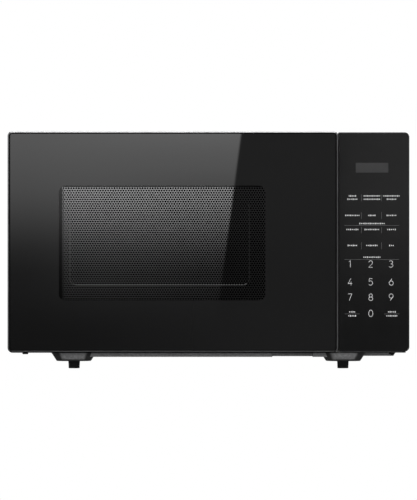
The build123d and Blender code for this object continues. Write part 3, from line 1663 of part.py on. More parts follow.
pieces = [
    front_glass,
    door_frame,
    hinge_bushes,
    perforated_screen,
    door_panel,
    door_screws,
    inner_window,
    choke_cover,
    latch_hooks,
    latch_spring,
    lower_hinge,
    upper_hinge,
    front_frame,
    cavity_wrap,
    cavity_floor,
    cavity_back,
    waveguide_cover,
    base_pan,
    feet,
    rear_panel,
    outer_wrapper,
    cabinet_screws,
    cord_gland,
    panel_housing,
    keypad_membrane,
    panel_overlay,
    display_lens,
    control_board,
    display_module,
    latch_board,
    interlock_switches,
    waveguide,
    magnetron_yoke,
    magnetron_magnets,
    magnetron_anode,
    magnetron_antenna,
    magnetron_filter,
    transformer_core,
    transformer_coils,
    hv_capacitor,
    capacitor_strap,
    hv_diode,
    fan_motor,
    fan_shaft,
    fan_blade,
    fan_shroud,
    lamp_holder,
    lamp_bulb,
    thermal_cutouts,
    filter_board,
    turntable_motor,
    turntable_shaft,
    turntable_coupler,
    roller_ring,
    *rollers,
    glass_turntable,
]
for piece in pieces:
    export_step(piece.part, f"parts/{piece.part.label}.step")
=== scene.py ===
import bpy
import bmesh
import json
import math
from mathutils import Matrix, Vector


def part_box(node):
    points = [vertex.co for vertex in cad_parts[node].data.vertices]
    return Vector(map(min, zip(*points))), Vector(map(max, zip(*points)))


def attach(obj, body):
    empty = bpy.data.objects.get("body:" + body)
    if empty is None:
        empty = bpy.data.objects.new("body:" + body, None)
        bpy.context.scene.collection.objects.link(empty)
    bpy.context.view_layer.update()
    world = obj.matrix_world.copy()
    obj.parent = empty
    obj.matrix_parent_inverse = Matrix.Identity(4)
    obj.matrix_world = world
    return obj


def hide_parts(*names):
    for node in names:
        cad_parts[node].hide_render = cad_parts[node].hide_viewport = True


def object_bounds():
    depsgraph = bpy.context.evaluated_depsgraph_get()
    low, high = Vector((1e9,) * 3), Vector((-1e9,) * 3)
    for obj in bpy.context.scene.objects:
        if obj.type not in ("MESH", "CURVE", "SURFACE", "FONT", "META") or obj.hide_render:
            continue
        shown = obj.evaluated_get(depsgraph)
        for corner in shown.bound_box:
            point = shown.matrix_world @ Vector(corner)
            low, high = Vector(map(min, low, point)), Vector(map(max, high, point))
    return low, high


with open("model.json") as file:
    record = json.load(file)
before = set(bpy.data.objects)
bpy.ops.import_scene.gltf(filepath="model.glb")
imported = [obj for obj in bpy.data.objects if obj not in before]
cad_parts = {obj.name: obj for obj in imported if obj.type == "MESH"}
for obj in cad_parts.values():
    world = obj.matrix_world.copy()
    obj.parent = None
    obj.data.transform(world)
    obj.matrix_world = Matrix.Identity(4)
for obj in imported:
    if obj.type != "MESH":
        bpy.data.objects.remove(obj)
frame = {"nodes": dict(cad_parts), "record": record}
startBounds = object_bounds()
nodes = frame["nodes"]
scene = bpy.context.scene
print("stage: frame loaded", len(nodes))


class Value:
    # one value in a node tree; arithmetic on it adds math nodes
    def __init__(self, graph, socket):
        self.graph = graph
        self.socket = socket

    def __add__(self, other):
        return self.graph.math("ADD", self, other)

    def __radd__(self, other):
        return self.graph.math("ADD", other, self)

    def __sub__(self, other):
        return self.graph.math("SUBTRACT", self, other)

    def __rsub__(self, other):
        return self.graph.math("SUBTRACT", other, self)

    def __mul__(self, other):
        return self.graph.math("MULTIPLY", self, other)

    def __rmul__(self, other):
        return self.graph.math("MULTIPLY", other, self)

    def __mod__(self, other):
        return self.graph.math("MODULO", self, other)

    def __rmod__(self, other):
        return self.graph.math("MODULO", other, self)

    def __abs__(self):
        return self.graph.math("ABSOLUTE", self)

    def root(self):
        return self.graph.math("SQRT", self)

    def top(self, other):
        return self.graph.math("MAXIMUM", self, other)

    def low(self, other):
        return self.graph.math("MINIMUM", self, other)

    def ramp(self, start, end, first=0.0, last=1.0):
        # smooth step from first to last while the value runs from start to end
        node = self.graph.make("ShaderNodeMapRange", interpolation_type="SMOOTHSTEP", clamp=True)
        for slot, item in zip(node.inputs, (self, start, end, first, last)):
            self.graph.feed(slot, item)
        return Value(self.graph, node.outputs[0])


class Graph:
    # a node tree, started empty
    def __init__(self, tree):
        self.tree = tree
        tree.nodes.clear()

    def make(self, kind, sockets=None, **settings):
        node = self.tree.nodes.new(kind)
        for name, value in settings.items():
            setattr(node, name, value)
        for name, value in (sockets or {}).items():
            self.feed(node.inputs[name], value)
        return node

    def feed(self, slot, value):
        if isinstance(value, Value):
            self.tree.links.new(value.socket, slot)
        elif isinstance(value, bpy.types.NodeSocket):
            self.tree.links.new(value, slot)
        else:
            slot.default_value = value

    def value(self, kind, output, sockets=None):
        # one output of a new node, ready for arithmetic
        return Value(self, self.make(kind, sockets).outputs[output])

    def math(self, operation, *items):
        node = self.make("ShaderNodeMath", operation=operation)
        for slot, item in zip(node.inputs, items):
            self.feed(slot, item)
        return Value(self, node.outputs[0])

    def coords(self):
        # object coordinates, in metres
        return self.make("ShaderNodeTexCoord").outputs["Object"]

    def split(self, vector):
        # the parts of a vector: across, into depth and up
        parts = self.make("ShaderNodeSeparateXYZ", {"Vector": vector})
        return [Value(self, part) for part in parts.outputs]

    def noise(self, vector, scale):
        return self.value("ShaderNodeTexNoise", 0, {"Vector": vector, "Scale": scale})

    def tint(self, factor, first, last):
        colours = {"A": (*first, 1.0), "B": (*last, 1.0)}
        node = self.make("ShaderNodeMix", data_type="RGBA")
        self.feed(node.inputs["Factor"], factor)
        for slot in node.inputs:
            if slot.type == "RGBA":
                self.feed(slot, colours[slot.name])
        return next(slot for slot in node.outputs if slot.type == "RGBA")

    def bump(self, height, strength, distance=0.0002):
        sockets = {"Strength": strength, "Distance": distance, "Height": height}
        return self.make("ShaderNodeBump", sockets).outputs["Normal"]

    def principled(self, **sockets):
        spaced = {name.replace("_", " "): value for name, value in sockets.items()}
        return self.make("ShaderNodeBsdfPrincipled", spaced).outputs["BSDF"]

    def transparent(self, colour):
        return self.make("ShaderNodeBsdfTransparent", {"Color": (*colour, 1.0)}).outputs["BSDF"]

    def mix(self, factor, first, last):
        node = self.make("ShaderNodeMixShader")
        for slot, item in zip(node.inputs, (factor, first, last)):
            self.feed(slot, item)
        return node.outputs["Shader"]

    def close(self, shader, kind="ShaderNodeOutputMaterial"):
        self.make(kind, {"Surface": shader})


def newMaterial(name):
    material = bpy.data.materials.new(name)
    material.use_nodes = True
    return material, Graph(material.node_tree)


def roundBox(x, z, centre, half, radius):
    # signed distance to a rounded rectangle in the front plane, negative inside
    qx = abs(x - centre[0]) - (half[0] - radius)
    qz = abs(z - centre[1]) - (half[1] - radius)
    outX = qx.top(0.0)
    outZ = qz.top(0.0)
    return (outX * outX + outZ * outZ).root() + qx.top(qz).low(0.0) - radius


noiseSpan = (0.3, 0.7)  # where most of a noise texture's values lie


def finish(name, dark, light, rough, metal=0.0, grain=900.0, mottle=60.0, bump=0.0, spec=0.5, glow=0.0):
    # a plain finish whose tone and gloss drift a little, with a fine grain
    material, graph = newMaterial(name)
    vector = graph.coords()
    drift = graph.noise(vector, mottle)
    fine = graph.noise(vector, grain)
    sockets = dict(
        Base_Color=graph.tint(drift.ramp(*noiseSpan), dark, light),
        Roughness=fine.ramp(*noiseSpan, *rough),
        Metallic=metal,
        Specular_IOR_Level=spec,
        Emission_Color=(1.0, 1.0, 1.0, 1.0),
        Emission_Strength=glow,
    )
    if bump:
        sockets["Normal"] = graph.bump(fine, bump)
    graph.close(graph.principled(**sockets))
    return material


def grey(level):
    # neutral with a trace of blue
    return (level, level, level * 1.01)


# finishes by the record's slots: dark tone, light tone, span of roughness
finishes = {
    "black_plastic": finish("blackPlastic", grey(0.007), grey(0.011), (0.36, 0.46), bump=0.15),
    "panel_gloss": finish("panelGloss", grey(0.0105), grey(0.012), (0.03, 0.05)),
    "display_smoke": finish("displaySmoke", grey(0.052), grey(0.056), (0.1, 0.14)),
    "screen_black": finish("screenPaint", grey(0.3116), grey(0.3244), (0.002, 0.003), metal=0.73, spec=0.0),
    "enamel_grey": finish("cavityEnamel", (0.42, 0.42, 0.41), (0.47, 0.47, 0.46), (0.32, 0.42), bump=0.05),
    "cabinet_black": finish("cabinetPaint", grey(0.012), grey(0.016), (0.42, 0.55), grain=1400.0, bump=0.3),
    "galvanised": finish("zincSheet", grey(0.2), grey(0.42), (0.35, 0.5), metal=0.2, mottle=420.0, bump=0.08),
    "screw_steel": finish("blackScrews", grey(0.03), grey(0.045), (0.3, 0.4), metal=0.8),
    "rubber_black": finish("footRubber", grey(0.008), grey(0.012), (0.55, 0.7), bump=0.2),
    "white_plastic": finish("acetal", (0.62, 0.61, 0.58), (0.68, 0.67, 0.64), (0.35, 0.45), bump=0.05),
    "mica": finish("micaSheet", (0.24, 0.2, 0.15), (0.36, 0.31, 0.24), (0.35, 0.5), mottle=90.0, bump=0.1),
    "copper_winding": finish("windings", (0.30, 0.11, 0.045), (0.42, 0.17, 0.07), (0.3, 0.4), metal=0.7),
    "dark_iron": finish("laminations", grey(0.04), grey(0.07), (0.45, 0.6), metal=0.4, bump=0.1),
    "aluminium": finish("aluminium", grey(0.5), grey(0.6), (0.28, 0.4), metal=1.0),
    "board_green": finish("solderMask", (0.015, 0.09, 0.03), (0.02, 0.13, 0.045), (0.3, 0.4)),
    "switch_grey": finish("darkMoulding", grey(0.05), grey(0.065), (0.4, 0.5), bump=0.08),
}

glass = dict(
    ior=1.5,
    wave=60.0,
    ripple=0.05,
    rough=(0.02, 0.04),
    shine=((0.7, 0.75, 0.74), (0.8, 0.84, 0.83)),
)


def glassFinish(name, through, shineShare):
    # pressed glass with a faint waviness: see-through colour, and the share of its full reflection
    material, graph = newMaterial(name)
    vector = graph.coords()
    wave = graph.noise(vector, glass["wave"])
    edgeOn = graph.value("ShaderNodeFresnel", 0, {"IOR": glass["ior"]})
    shine = graph.principled(
        Base_Color=graph.tint(wave, *glass["shine"]),
        Metallic=1.0,
        Roughness=wave.ramp(*noiseSpan, *glass["rough"]),
        Normal=graph.bump(wave, glass["ripple"]),
    )
    graph.close(graph.mix(edgeOn * shineShare, graph.transparent(through), shine))
    return material


finishes["clear_glass"] = glassFinish("clearGlass", (0.9, 0.95, 0.94), 0.9)
smokeFinish = glassFinish("smokedSheet", (0.04, 0.04, 0.042), 0.02)
print("stage: finishes made", len(finishes))


facing = dict(flat=0.95, inside=0.9, edge=0.6)  # least share of a normal along an axis


def paintFaces(piece, choose, *materials):
    # adds materials to a piece; choose(normal) gives the number of a face's material
    for material in materials:
        piece.data.materials.append(material)
    for face in piece.data.polygons:
        face.material_index = choose(face.normal)


# door pane: black print behind clear glass, with a clear window over the screen
glassLow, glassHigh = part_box("front_glass")
screenLow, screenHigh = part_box("perforated_screen")
window = dict(inset=0.008, radius=0.007, soft=(0.0001, -0.0001))  # inset from the screen's outline
pane = dict(
    radius=0.0055,
    # painted highlight: a light band 1.2 to 2 mm above the pane's lower edge, standing in for its lit lower
    # rim
    rimLightStart=(0.0011, 0.0013),  # heights above the lower edge
    rimLightEnd=(0.0021, 0.0018),
    # painted shade: a near-black line 1.6 to 2.8 mm inside the pane's outline, standing in for the shade in a
    # groove inside the edge
    grooveShadeStart=(0.0022, 0.0026),
    grooveShadeInner=(-0.0032, -0.0028),  # distances from the outline, negative inside
    grooveShadeOuter=(-0.0012, -0.0016),
    smear=14.0,
    smearShare=0.2,
    # painted light: the print gets lighter from left to right, as if lit more from the right
    paintedLightAcross=(-0.2, 0.14, 0.0, 0.8),  # print gets lighter from left to right
    printTones=(grey(0.0107), grey(0.0165)),
    printRough=(0.004, 0.008),
    grooveShadeTones=(grey(0.002), grey(0.003)),
    grooveShadeRough=(0.55, 0.6),
    grooveShadeShine=0.1,
    rimLightTones=(grey(0.17), grey(0.19)),
    rimLightRough=0.3,
)


def paneFinish():
    material, graph = newMaterial("printedGlass")
    vector = graph.coords()
    x, _, z = graph.split(vector)
    windowCentre = ((screenLow.x + screenHigh.x) / 2, (screenLow.z + screenHigh.z) / 2)
    windowHalf = (
        (screenHigh.x - screenLow.x) / 2 - window["inset"],
        (screenHigh.z - screenLow.z) / 2 - window["inset"],
    )
    paneCentre = ((glassLow.x + glassHigh.x) / 2, (glassLow.z + glassHigh.z) / 2)
    paneHalf = ((glassHigh.x - glassLow.x) / 2, (glassHigh.z - glassLow.z) / 2)
    inWindow = roundBox(x, z, windowCentre, windowHalf, window["radius"]).ramp(*window["soft"])
    fromEdge = roundBox(x, z, paneCentre, paneHalf, pane["radius"])
    above = z - glassLow.z
    # mask of the painted rim highlight
    rimLightMask = above.ramp(*pane["rimLightStart"]) * above.ramp(*pane["rimLightEnd"])
    # mask of the painted groove shade
    ring = fromEdge.ramp(*pane["grooveShadeInner"]) * fromEdge.ramp(*pane["grooveShadeOuter"])
    grooveShadeMask = ring * above.ramp(*pane["grooveShadeStart"])
    smear = graph.noise(vector, pane["smear"])
    # black print, with the painted light across it
    printed = graph.principled(
        Base_Color=graph.tint(x.ramp(*pane["paintedLightAcross"]) + smear * pane["smearShare"], *pane["printTones"]),
        Roughness=smear.ramp(*noiseSpan, *pane["printRough"]),
    )
    # painted shade of the groove
    line = graph.principled(
        Base_Color=graph.tint(smear, *pane["grooveShadeTones"]),
        Roughness=smear.ramp(*noiseSpan, *pane["grooveShadeRough"]),
        Specular_IOR_Level=pane["grooveShadeShine"],
    )
    # painted highlight of the lower rim
    paintedRimLight = graph.principled(
        Base_Color=graph.tint(smear, *pane["rimLightTones"]),
        Roughness=pane["rimLightRough"],
    )
    # soft light scattered by the screen ends at the pane, which keeps the punched pattern clean
    softLight = graph.value("ShaderNodeLightPath", "Is Diffuse Ray")
    face = graph.mix(inWindow * (1 - softLight), printed, graph.transparent((1.0, 1.0, 1.0)))
    graph.close(graph.mix(rimLightMask, graph.mix(grooveShadeMask, face, line), paintedRimLight))
    return material


def paneSide(normal):
    # front and back, sides, top, underside
    if abs(normal.y) > facing["flat"]:
        return 0
    if normal.z > facing["edge"]:
        return 2
    return 3 if normal.z < -facing["edge"] else 1


paneObject = nodes["front_glass"]
paneMaterial = paneFinish()
paneMaterial.use_transparent_shadow = False  # lamps don't reach the screen
paneObject.visible_glossy = False  # the screen mirrors the card through the pane
paneObject.data.materials.clear()
# pane edges in painted light and shade: light grey on top as if lit from above, mid grey on the sides, near
# black underneath in shade
paintFaces(
    paneObject,
    paneSide,
    paneMaterial,
    finish("paintedHalfLitSideEdge", grey(0.1), grey(0.13), (0.3, 0.36), grain=300.0),
    finish("paintedLitTopEdge", grey(0.66), grey(0.72), (0.3, 0.36), grain=300.0),
    finish("shadedEdge", grey(0.002), grey(0.003), (0.5, 0.6), spec=0.1),
)

# base pan: zinc sheet with painted shade where the pressing turns aside, along its lower rim and in a band
# under the door, and painted light towards its top
panLow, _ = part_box("base_pan")
pan = dict(
    # painted shade where the pressing turns aside and along the lower rim
    turned=(0.12, 0.35),  # sideways share of the normal
    square=(0.98, 0.9, 0.35, 1.0),  # faces square to the side stay lighter
    rim=(0.0024, 0.0016),  # heights above the pan's lower edge
    # painted light: the sheet gets lighter from 2 to 9 mm above its lower edge
    paintedLightUp=(0.002, 0.009, 0.0, 0.5),
    grainShare=0.5,
    # painted shadow band under the door's lower edge
    shadowUnderDoor=(0.0176, 0.018),  # height above the ground
    grain=420.0,
    rough=(0.4, 0.55),
    metal=0.2,
    sheetTones=(grey(0.24), grey(0.52)),
    shadowTones=(grey(0.035), grey(0.06)),
)


def panFinish():
    material, graph = newMaterial("pressedZincPaintedShade")
    vector = graph.coords()
    normal = graph.make("ShaderNodeNewGeometry").outputs["Normal"]
    aside = abs(graph.split(normal)[0])
    z = graph.split(vector)[2]
    height = z - panLow.z
    # painted shade: faces turned aside, the lowest millimetres and the band under the door take the shadow
    # tones
    shaded = aside.ramp(*pan["turned"]) * aside.ramp(*pan["square"])
    dark = shaded.top(height.ramp(*pan["rim"])).top(z.ramp(*pan["shadowUnderDoor"]))
    grain = graph.noise(vector, pan["grain"])
    lit = grain.ramp(*noiseSpan) * pan["grainShare"] + height.ramp(*pan["paintedLightUp"])
    gloss = dict(Roughness=grain.ramp(*noiseSpan, *pan["rough"]), Metallic=pan["metal"])
    sheet = graph.principled(Base_Color=graph.tint(lit, *pan["sheetTones"]), **gloss)
    shadow = graph.principled(Base_Color=graph.tint(grain, *pan["shadowTones"]), **gloss)
    graph.close(graph.mix(dark, sheet, shadow))
    return material


# every other CAD piece takes its slot's finish, or its own where one is named here
special = {
    "inner_window": smokeFinish,
    "door_panel": finishes["cabinet_black"],
    "base_pan": panFinish(),
}
for entry in frame["record"]["subparts"]:
    piece = nodes[entry["node"]]
    if piece is paneObject:
        continue
    piece.data.materials.clear()
    piece.data.materials.append(special.get(entry["node"], finishes[entry["material_slot"]]))


def sheetSide(normal):
    # all else, underside, sides
    if normal.z < -facing["edge"]:
        return 1
    return 2 if abs(normal.x) > facing["edge"] else 0


def mouldingSide(normal):
    # all else, faces towards the front
    return 1 if normal.y < -facing["inside"] else 0


# painted highlight: the inner window's underside and side faces glow a little, standing in for the light
# their edges catch
paintFaces(
    nodes["inner_window"],
    sheetSide,
    finish("paintedSheetEdgeHighlight", grey(0.06), grey(0.07), (0.3, 0.4), glow=0.17),
    finish("sheetSide", grey(0.01), grey(0.012), (0.3, 0.4), spec=0.05, glow=0.015),
)
# painted shade: the faces of the door's back moulding that face the front are near black, seen only through
# the holes
paintFaces(
    nodes["choke_cover"],
    mouldingSide,
    finish("mouldingInsideShade", grey(0.0003), grey(0.0004), (0.08, 0.12), metal=1.0),
)
print("stage: CAD pieces finished")


def meshObject(name, build, material, body=None):
    # a new mesh piece made by build(bm), riding on a body if one is given
    mesh = bpy.data.meshes.new(name)
    bm = bmesh.new()
    build(bm)
    bm.to_mesh(mesh)
    bm.free()
    mesh.materials.append(material)
    made = bpy.data.objects.new(name, mesh)
    scene.collection.objects.link(made)
    if body:
        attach(made, body)
    return made


# punched screen: one cell with a hole, repeated by geometry nodes
screen = dict(
    pitch=0.0028,
    rowStep=0.002425,
    columns=80,
    rows=51,
    hole=0.00118,  # radius, less than half the row step
    left=-0.1607,
    top=0.2007,
    setBack=0.00004,  # plain margin behind the punched face
    weld=1e-6,
)


def buildCell(bm):
    # eight-sided hole in a rectangular cell, front, back and wall
    half = screen["pitch"] / 2
    tall = screen["rowStep"] / 2
    thick = screenHigh.y - screenLow.y
    around = ((1, 0), (1, 1), (0, 1), (-1, 1), (-1, 0), (-1, -1), (0, -1), (1, -1))
    rings = []
    for depth in (0.0, thick):
        outer = [bm.verts.new((u * half, depth, v * tall)) for u, v in around]
        angles = [math.atan2(v, u) for u, v in around]
        rim = [(screen["hole"] * math.cos(a), screen["hole"] * math.sin(a)) for a in angles]
        inner = [bm.verts.new((x, depth, z)) for x, z in rim]
        rings.append((outer, inner))
    (outerFront, innerFront), (outerBack, innerBack) = rings
    count = len(around)
    for i in range(count):
        j = (i + 1) % count
        bm.faces.new((outerFront[i], innerFront[i], innerFront[j], outerFront[j]))
        bm.faces.new((outerBack[j], innerBack[j], innerBack[i], outerBack[i]))
        bm.faces.new((innerFront[i], innerBack[i], innerBack[j], innerFront[j]))
    bmesh.ops.reverse_faces(bm, faces=bm.faces)


def punchTree():
    # rows of cells, every second row moved by half a pitch
    tree = bpy.data.node_groups.new("punchedField", "GeometryNodeTree")
    kinds = {
        "Columns": "Int",
        "Rows": "Int",
        "Pitch": "Float",
        "Row Step": "Float",
        "Cell": "Object",
        "Finish": "Material",
    }
    for name, kind in kinds.items():
        tree.interface.new_socket(name, in_out="INPUT", socket_type="NodeSocket" + kind)
    tree.interface.new_socket("Geometry", in_out="OUTPUT", socket_type="NodeSocketGeometry")
    graph = Graph(tree)
    given = graph.make("NodeGroupInput").outputs
    sizes = ("Columns", "Rows", "Pitch", "Row Step")
    columns, rows, pitch, rowStep = [Value(graph, given[name]) for name in sizes]
    grid = graph.make("GeometryNodeMeshGrid", {
        "Size X": (columns - 1) * pitch,
        "Size Y": (rows - 1) * rowStep,
        "Vertices X": columns,
        "Vertices Y": rows,
    })
    points = graph.make("GeometryNodeMeshToPoints", {"Mesh": grid.outputs["Mesh"]})
    odd = graph.value("GeometryNodeInputIndex", 0) % rows % 2
    shift = graph.make("ShaderNodeCombineXYZ", {"X": odd * pitch * 0.5})
    moved = graph.make("GeometryNodeSetPosition", {
        "Geometry": points.outputs[0],
        "Offset": shift.outputs[0],
    })
    upright = graph.make("GeometryNodeTransform", {
        "Geometry": moved.outputs[0],
        "Rotation": (math.pi / 2, 0, 0),
    })
    cell = graph.make("GeometryNodeObjectInfo", {"Object": given["Cell"]})
    copies = graph.make("GeometryNodeInstanceOnPoints", {
        "Points": upright.outputs[0],
        "Instance": cell.outputs["Geometry"],
    })
    real = graph.make("GeometryNodeRealizeInstances", {"Geometry": copies.outputs[0]})
    coated = graph.make("GeometryNodeSetMaterial", {
        "Geometry": real.outputs[0],
        "Material": given["Finish"],
    })
    graph.make("NodeGroupOutput", {"Geometry": coated.outputs[0]})
    return tree


def runTree(tree, name, inputs):
    # evaluates a geometry tree once and returns its plain mesh
    holder = bpy.data.objects.new(name, bpy.data.meshes.new(name))
    scene.collection.objects.link(holder)
    modifier = holder.modifiers.new("field", "NODES")
    modifier.node_group = tree
    for item in tree.interface.items_tree:
        if item.in_out == "INPUT":
            modifier[item.identifier] = inputs[item.name]
    bpy.context.view_layer.update()
    evaluated = holder.evaluated_get(bpy.context.evaluated_depsgraph_get())
    result = bpy.data.meshes.new_from_object(evaluated)
    bpy.data.objects.remove(holder)
    return result


cellObject = meshObject("cell", buildCell, finishes["screen_black"])
fieldMesh = runTree(punchTree(), "fieldHolder", {
    "Columns": screen["columns"],
    "Rows": screen["rows"],
    "Pitch": screen["pitch"],
    "Row Step": screen["rowStep"],
    "Cell": cellObject,
    "Finish": finishes["screen_black"],
})
bpy.data.objects.remove(cellObject)
marginStrips = ((0, 3, 0, 1), (0, 3, 2, 3), (0, 1, 1, 2), (2, 3, 1, 2))  # below, above, left, right


def buildScreen(bm):
    # punched field, and the plain margin round it
    half = screen["pitch"] / 2
    wide = screen["columns"] * screen["pitch"]
    tall = screen["rows"] * screen["rowStep"]
    bm.from_mesh(fieldMesh)
    middle = Vector((screen["left"] + wide / 2, screenLow.y, screen["top"] - tall / 2))
    bmesh.ops.translate(bm, verts=bm.verts, vec=middle)
    bmesh.ops.remove_doubles(bm, verts=bm.verts, dist=screen["weld"])
    xs = (screenLow.x, screen["left"] + half, screen["left"] + wide, screenHigh.x)
    zs = (screenLow.z, screen["top"] - tall, screen["top"], screenHigh.z)
    near = screenLow.y + screen["setBack"]
    far = screenHigh.y - screen["setBack"]
    for a, b, c, d in marginStrips:
        made = bmesh.ops.create_cube(bm, size=1.0)["verts"]
        bmesh.ops.scale(bm, verts=made, vec=(xs[b] - xs[a], far - near, zs[d] - zs[c]))
        centre = ((xs[a] + xs[b]) / 2, (near + far) / 2, (zs[c] + zs[d]) / 2)
        bmesh.ops.translate(bm, verts=made, vec=centre)


punchedScreen = meshObject("punchedScreen", buildScreen, finishes["screen_black"], "door")
marginFinish = finish("screenMargin", grey(0.034), grey(0.038), (0.02, 0.03), metal=0.7, spec=0.0)
punchedScreen.data.materials.append(marginFinish)
marginFaces = 6 * len(marginStrips)  # six to a strip, made last
for face in punchedScreen.data.polygons[-marginFaces:]:
    face.material_index = 1
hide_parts("perforated_screen")
print("stage: screen punched", len(punchedScreen.data.polygons))

# the photograph: its size and the oven's width in pixels, the height of its middle, the camera's distance
picture = dict(wide=417, tall=500, ovenWide=402.1, middle=0.1318, distance=3.0)
ovenLow, ovenHigh = startBounds
pixel = (ovenHigh.x - ovenLow.x) / picture["ovenWide"]


def spot(px, py):
    # picture position to a place on the front
    x = (px - picture["wide"] / 2) * pixel
    z = picture["middle"] + (picture["tall"] / 2 - py) * pixel
    return x, z


# print on the panel, in picture pixels
overlayLow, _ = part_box("panel_overlay")
ink = dict(
    lift=0.00006,  # in front of the panel
    layer=0.00002,  # from one stroke to the next
    longestMitre=1.6,
    touching=1e-6,  # ends as near as this close a line
)
digits = dict(
    tall=6.6,
    stroke=0.42,
    middle=(0.31, 0.5),
    columns=(350.1, 370.8, 391.2),
    rows=((264.0, "123"), (281.9, "456"), (297.2, "789"), (313.4, " 0 ")),
)
# small blank marks: the height of each row, and how wide the groups in it are
marks = dict(
    columns=(352.4, 371.9, 391.5),
    rows=(
        (195.9, (8.0, 17.0, 17.0)),
        (199.2, (10.8, 17.0, 10.0)),
        (215.4, (15.0, 7.9, 10.4)),
        (229.5, (12.9, 15.3, 9.5)),
        (245.5, (10.0, 12.0, 5.4)),
    ),
    singleColumn=372.0,
    singleRows=((223.5, 26.0), (257.2, 17.8)),
    lowColumns=(352.2, 391.9),
    lowRows=((311.9, (6.5, 8.5)), (315.9, (8.5, 11.5))),
    size=(0.85, 1.1),
    taller=0.5,
    tallEvery=3,
    step=1.75,
    fewest=3,
)
rules = dict(
    thick=0.24,
    long=(371.8, 54.7),  # middle and width
    longRows=(225.5, 259.5),
    short=((352.2, 15.4), (391.9, 15.2)),
    shortRow=313.9,
    uprightColumns=(361.5, 381.6),
    uprights=((197.8, 7.0), (215.4, 6.6), (230.0, 6.0), (245.8, 6.8)),  # middle and height
)


def inkBar(bm, px, py, wide, tall):
    # flat printed bar round a picture position
    ring = ((-0.5, 0.5), (0.5, 0.5), (0.5, -0.5), (-0.5, -0.5))
    corners = [spot(px + u * wide, py + v * tall) for u, v in ring]
    bm.faces.new([bm.verts.new((x, overlayLow.y - ink["lift"], z)) for x, z in corners])


def stroke(bm, points, thick, depth):
    # printed line of even width through picture points, mitred at its joints
    closed = math.dist(points[0], points[-1]) < ink["touching"]
    ring = points[:-1] if closed else points
    pairs = []
    for i, here in enumerate(ring):
        before = ring[i - 1] if closed or i else None
        after = ring[(i + 1) % len(ring)] if closed or i < len(ring) - 1 else None
        steps = [(b[0] - a[0], b[1] - a[1]) for a, b in ((before, here), (here, after)) if a and b]
        units = [(u / math.hypot(u, v), v / math.hypot(u, v)) for u, v in steps]
        sumX = sum(u for u, v in units)
        sumY = sum(v for u, v in units)
        length = math.hypot(sumX, sumY)
        reach = thick / 2 * min(len(units) / length, ink["longestMitre"])
        nx = -sumY / length * reach
        ny = sumX / length * reach
        corners = (spot(here[0] + nx, here[1] + ny), spot(here[0] - nx, here[1] - ny))
        pairs.append([bm.verts.new((x, depth, z)) for x, z in corners])
    following = pairs[1:] + pairs[:1] if closed else pairs[1:]
    for (a, b), (c, d) in zip(pairs, following):
        bm.faces.new((a, b, d, c))


def arc(cx, cy, rx, ry, start, end, steps=14):
    # points of an ellipse arc in the unit box of a digit, degrees counter-clockwise
    angles = [math.radians(start + (end - start) * i / steps) for i in range(steps + 1)]
    return [(cx + rx * math.cos(a), cy + ry * math.sin(a)) for a in angles]


# digit shapes: strokes in a box about 0.6 wide and 1 high, origin at the lower left
digitShapes = {
    "0": [arc(0.31, 0.5, 0.31, 0.5, 0, 360, 28)],
    "1": [[(0.16, 0.86), (0.36, 1.0), (0.36, 0.0)]],
    "2": [arc(0.3, 0.71, 0.28, 0.29, 165, -35) + [(0.02, 0.0), (0.6, 0.0)]],
    "3": [arc(0.28, 0.75, 0.25, 0.25, 150, -90) + arc(0.28, 0.26, 0.3, 0.26, 90, -150)],
    "4": [[(0.46, 0.0), (0.46, 0.55)], [(0.42, 1.0), (0.02, 0.25), (0.64, 0.25)]],
    "5": [[(0.54, 1.0), (0.1, 1.0), (0.06, 0.55)] + arc(0.28, 0.33, 0.31, 0.33, 125, -145)],
    "6": [[(0.45, 1.0), (0.06, 0.45)], arc(0.31, 0.32, 0.31, 0.32, 0, 360, 24)],
    "7": [[(0.02, 1.0), (0.58, 1.0), (0.2, 0.0)]],
    "8": [arc(0.31, 0.76, 0.24, 0.24, 0, 360, 20), arc(0.31, 0.26, 0.3, 0.26, 0, 360, 24)],
    "9": [[(0.17, 0.0), (0.56, 0.55)], arc(0.31, 0.68, 0.31, 0.32, 0, 360, 24)],
}


def printDigit(bm, name, px, py):
    tall = digits["tall"]
    middleU, middleV = digits["middle"]
    for layer, line in enumerate(digitShapes[name]):
        points = [(px + (u - middleU) * tall, py + (middleV - v) * tall) for u, v in line]
        stroke(bm, points, digits["stroke"], overlayLow.y - ink["lift"] - ink["layer"] * layer)


def printMarks(bm, px, py, wide):
    # a group of marks, some of them taller
    thick, tall = marks["size"]
    count = max(marks["fewest"], round(wide / marks["step"]))
    for i in range(count):
        raised = (i + count) % marks["tallEvery"] == 0
        inkBar(bm, px + ((i + 0.5) / count - 0.5) * wide, py, thick, tall + marks["taller"] * raised)


def buildLegends(bm):
    for py, names in digits["rows"]:
        for px, name in zip(digits["columns"], names):
            if name in digitShapes:
                printDigit(bm, name, px, py)
    for columns, rows in (("columns", "rows"), ("lowColumns", "lowRows")):
        for py, widths in marks[rows]:
            for px, wide in zip(marks[columns], widths):
                printMarks(bm, px, py, wide)
    for py, wide in marks["singleRows"]:
        printMarks(bm, marks["singleColumn"], py, wide)


def buildRules(bm):
    thick = rules["thick"]
    middle, wide = rules["long"]
    for py in rules["longRows"]:
        inkBar(bm, middle, py, wide, thick)
    for px, wide in rules["short"]:
        inkBar(bm, px, rules["shortRow"], wide, thick)
    for py, tall in rules["uprights"]:
        for px in rules["uprightColumns"]:
            inkBar(bm, px, py, thick, tall)


# painted light: the white ink glows a little, brighter than the lamps make it
whiteInk = finish("whiteInk", grey(0.86), grey(0.9), (0.4, 0.5), glow=0.16)
greyInk = finish("greyInk", grey(0.2), grey(0.22), (0.4, 0.5))
meshObject("legends", buildLegends, whiteInk, "chassis")
meshObject("rules", buildRules, greyInk, "chassis")
print("stage: legends printed")

# floor: white to the camera, grey to the light
ground = dict(size=9.0, white=(1, 1, 1, 1), tone=(0.35, 0.35, 0.35, 1))


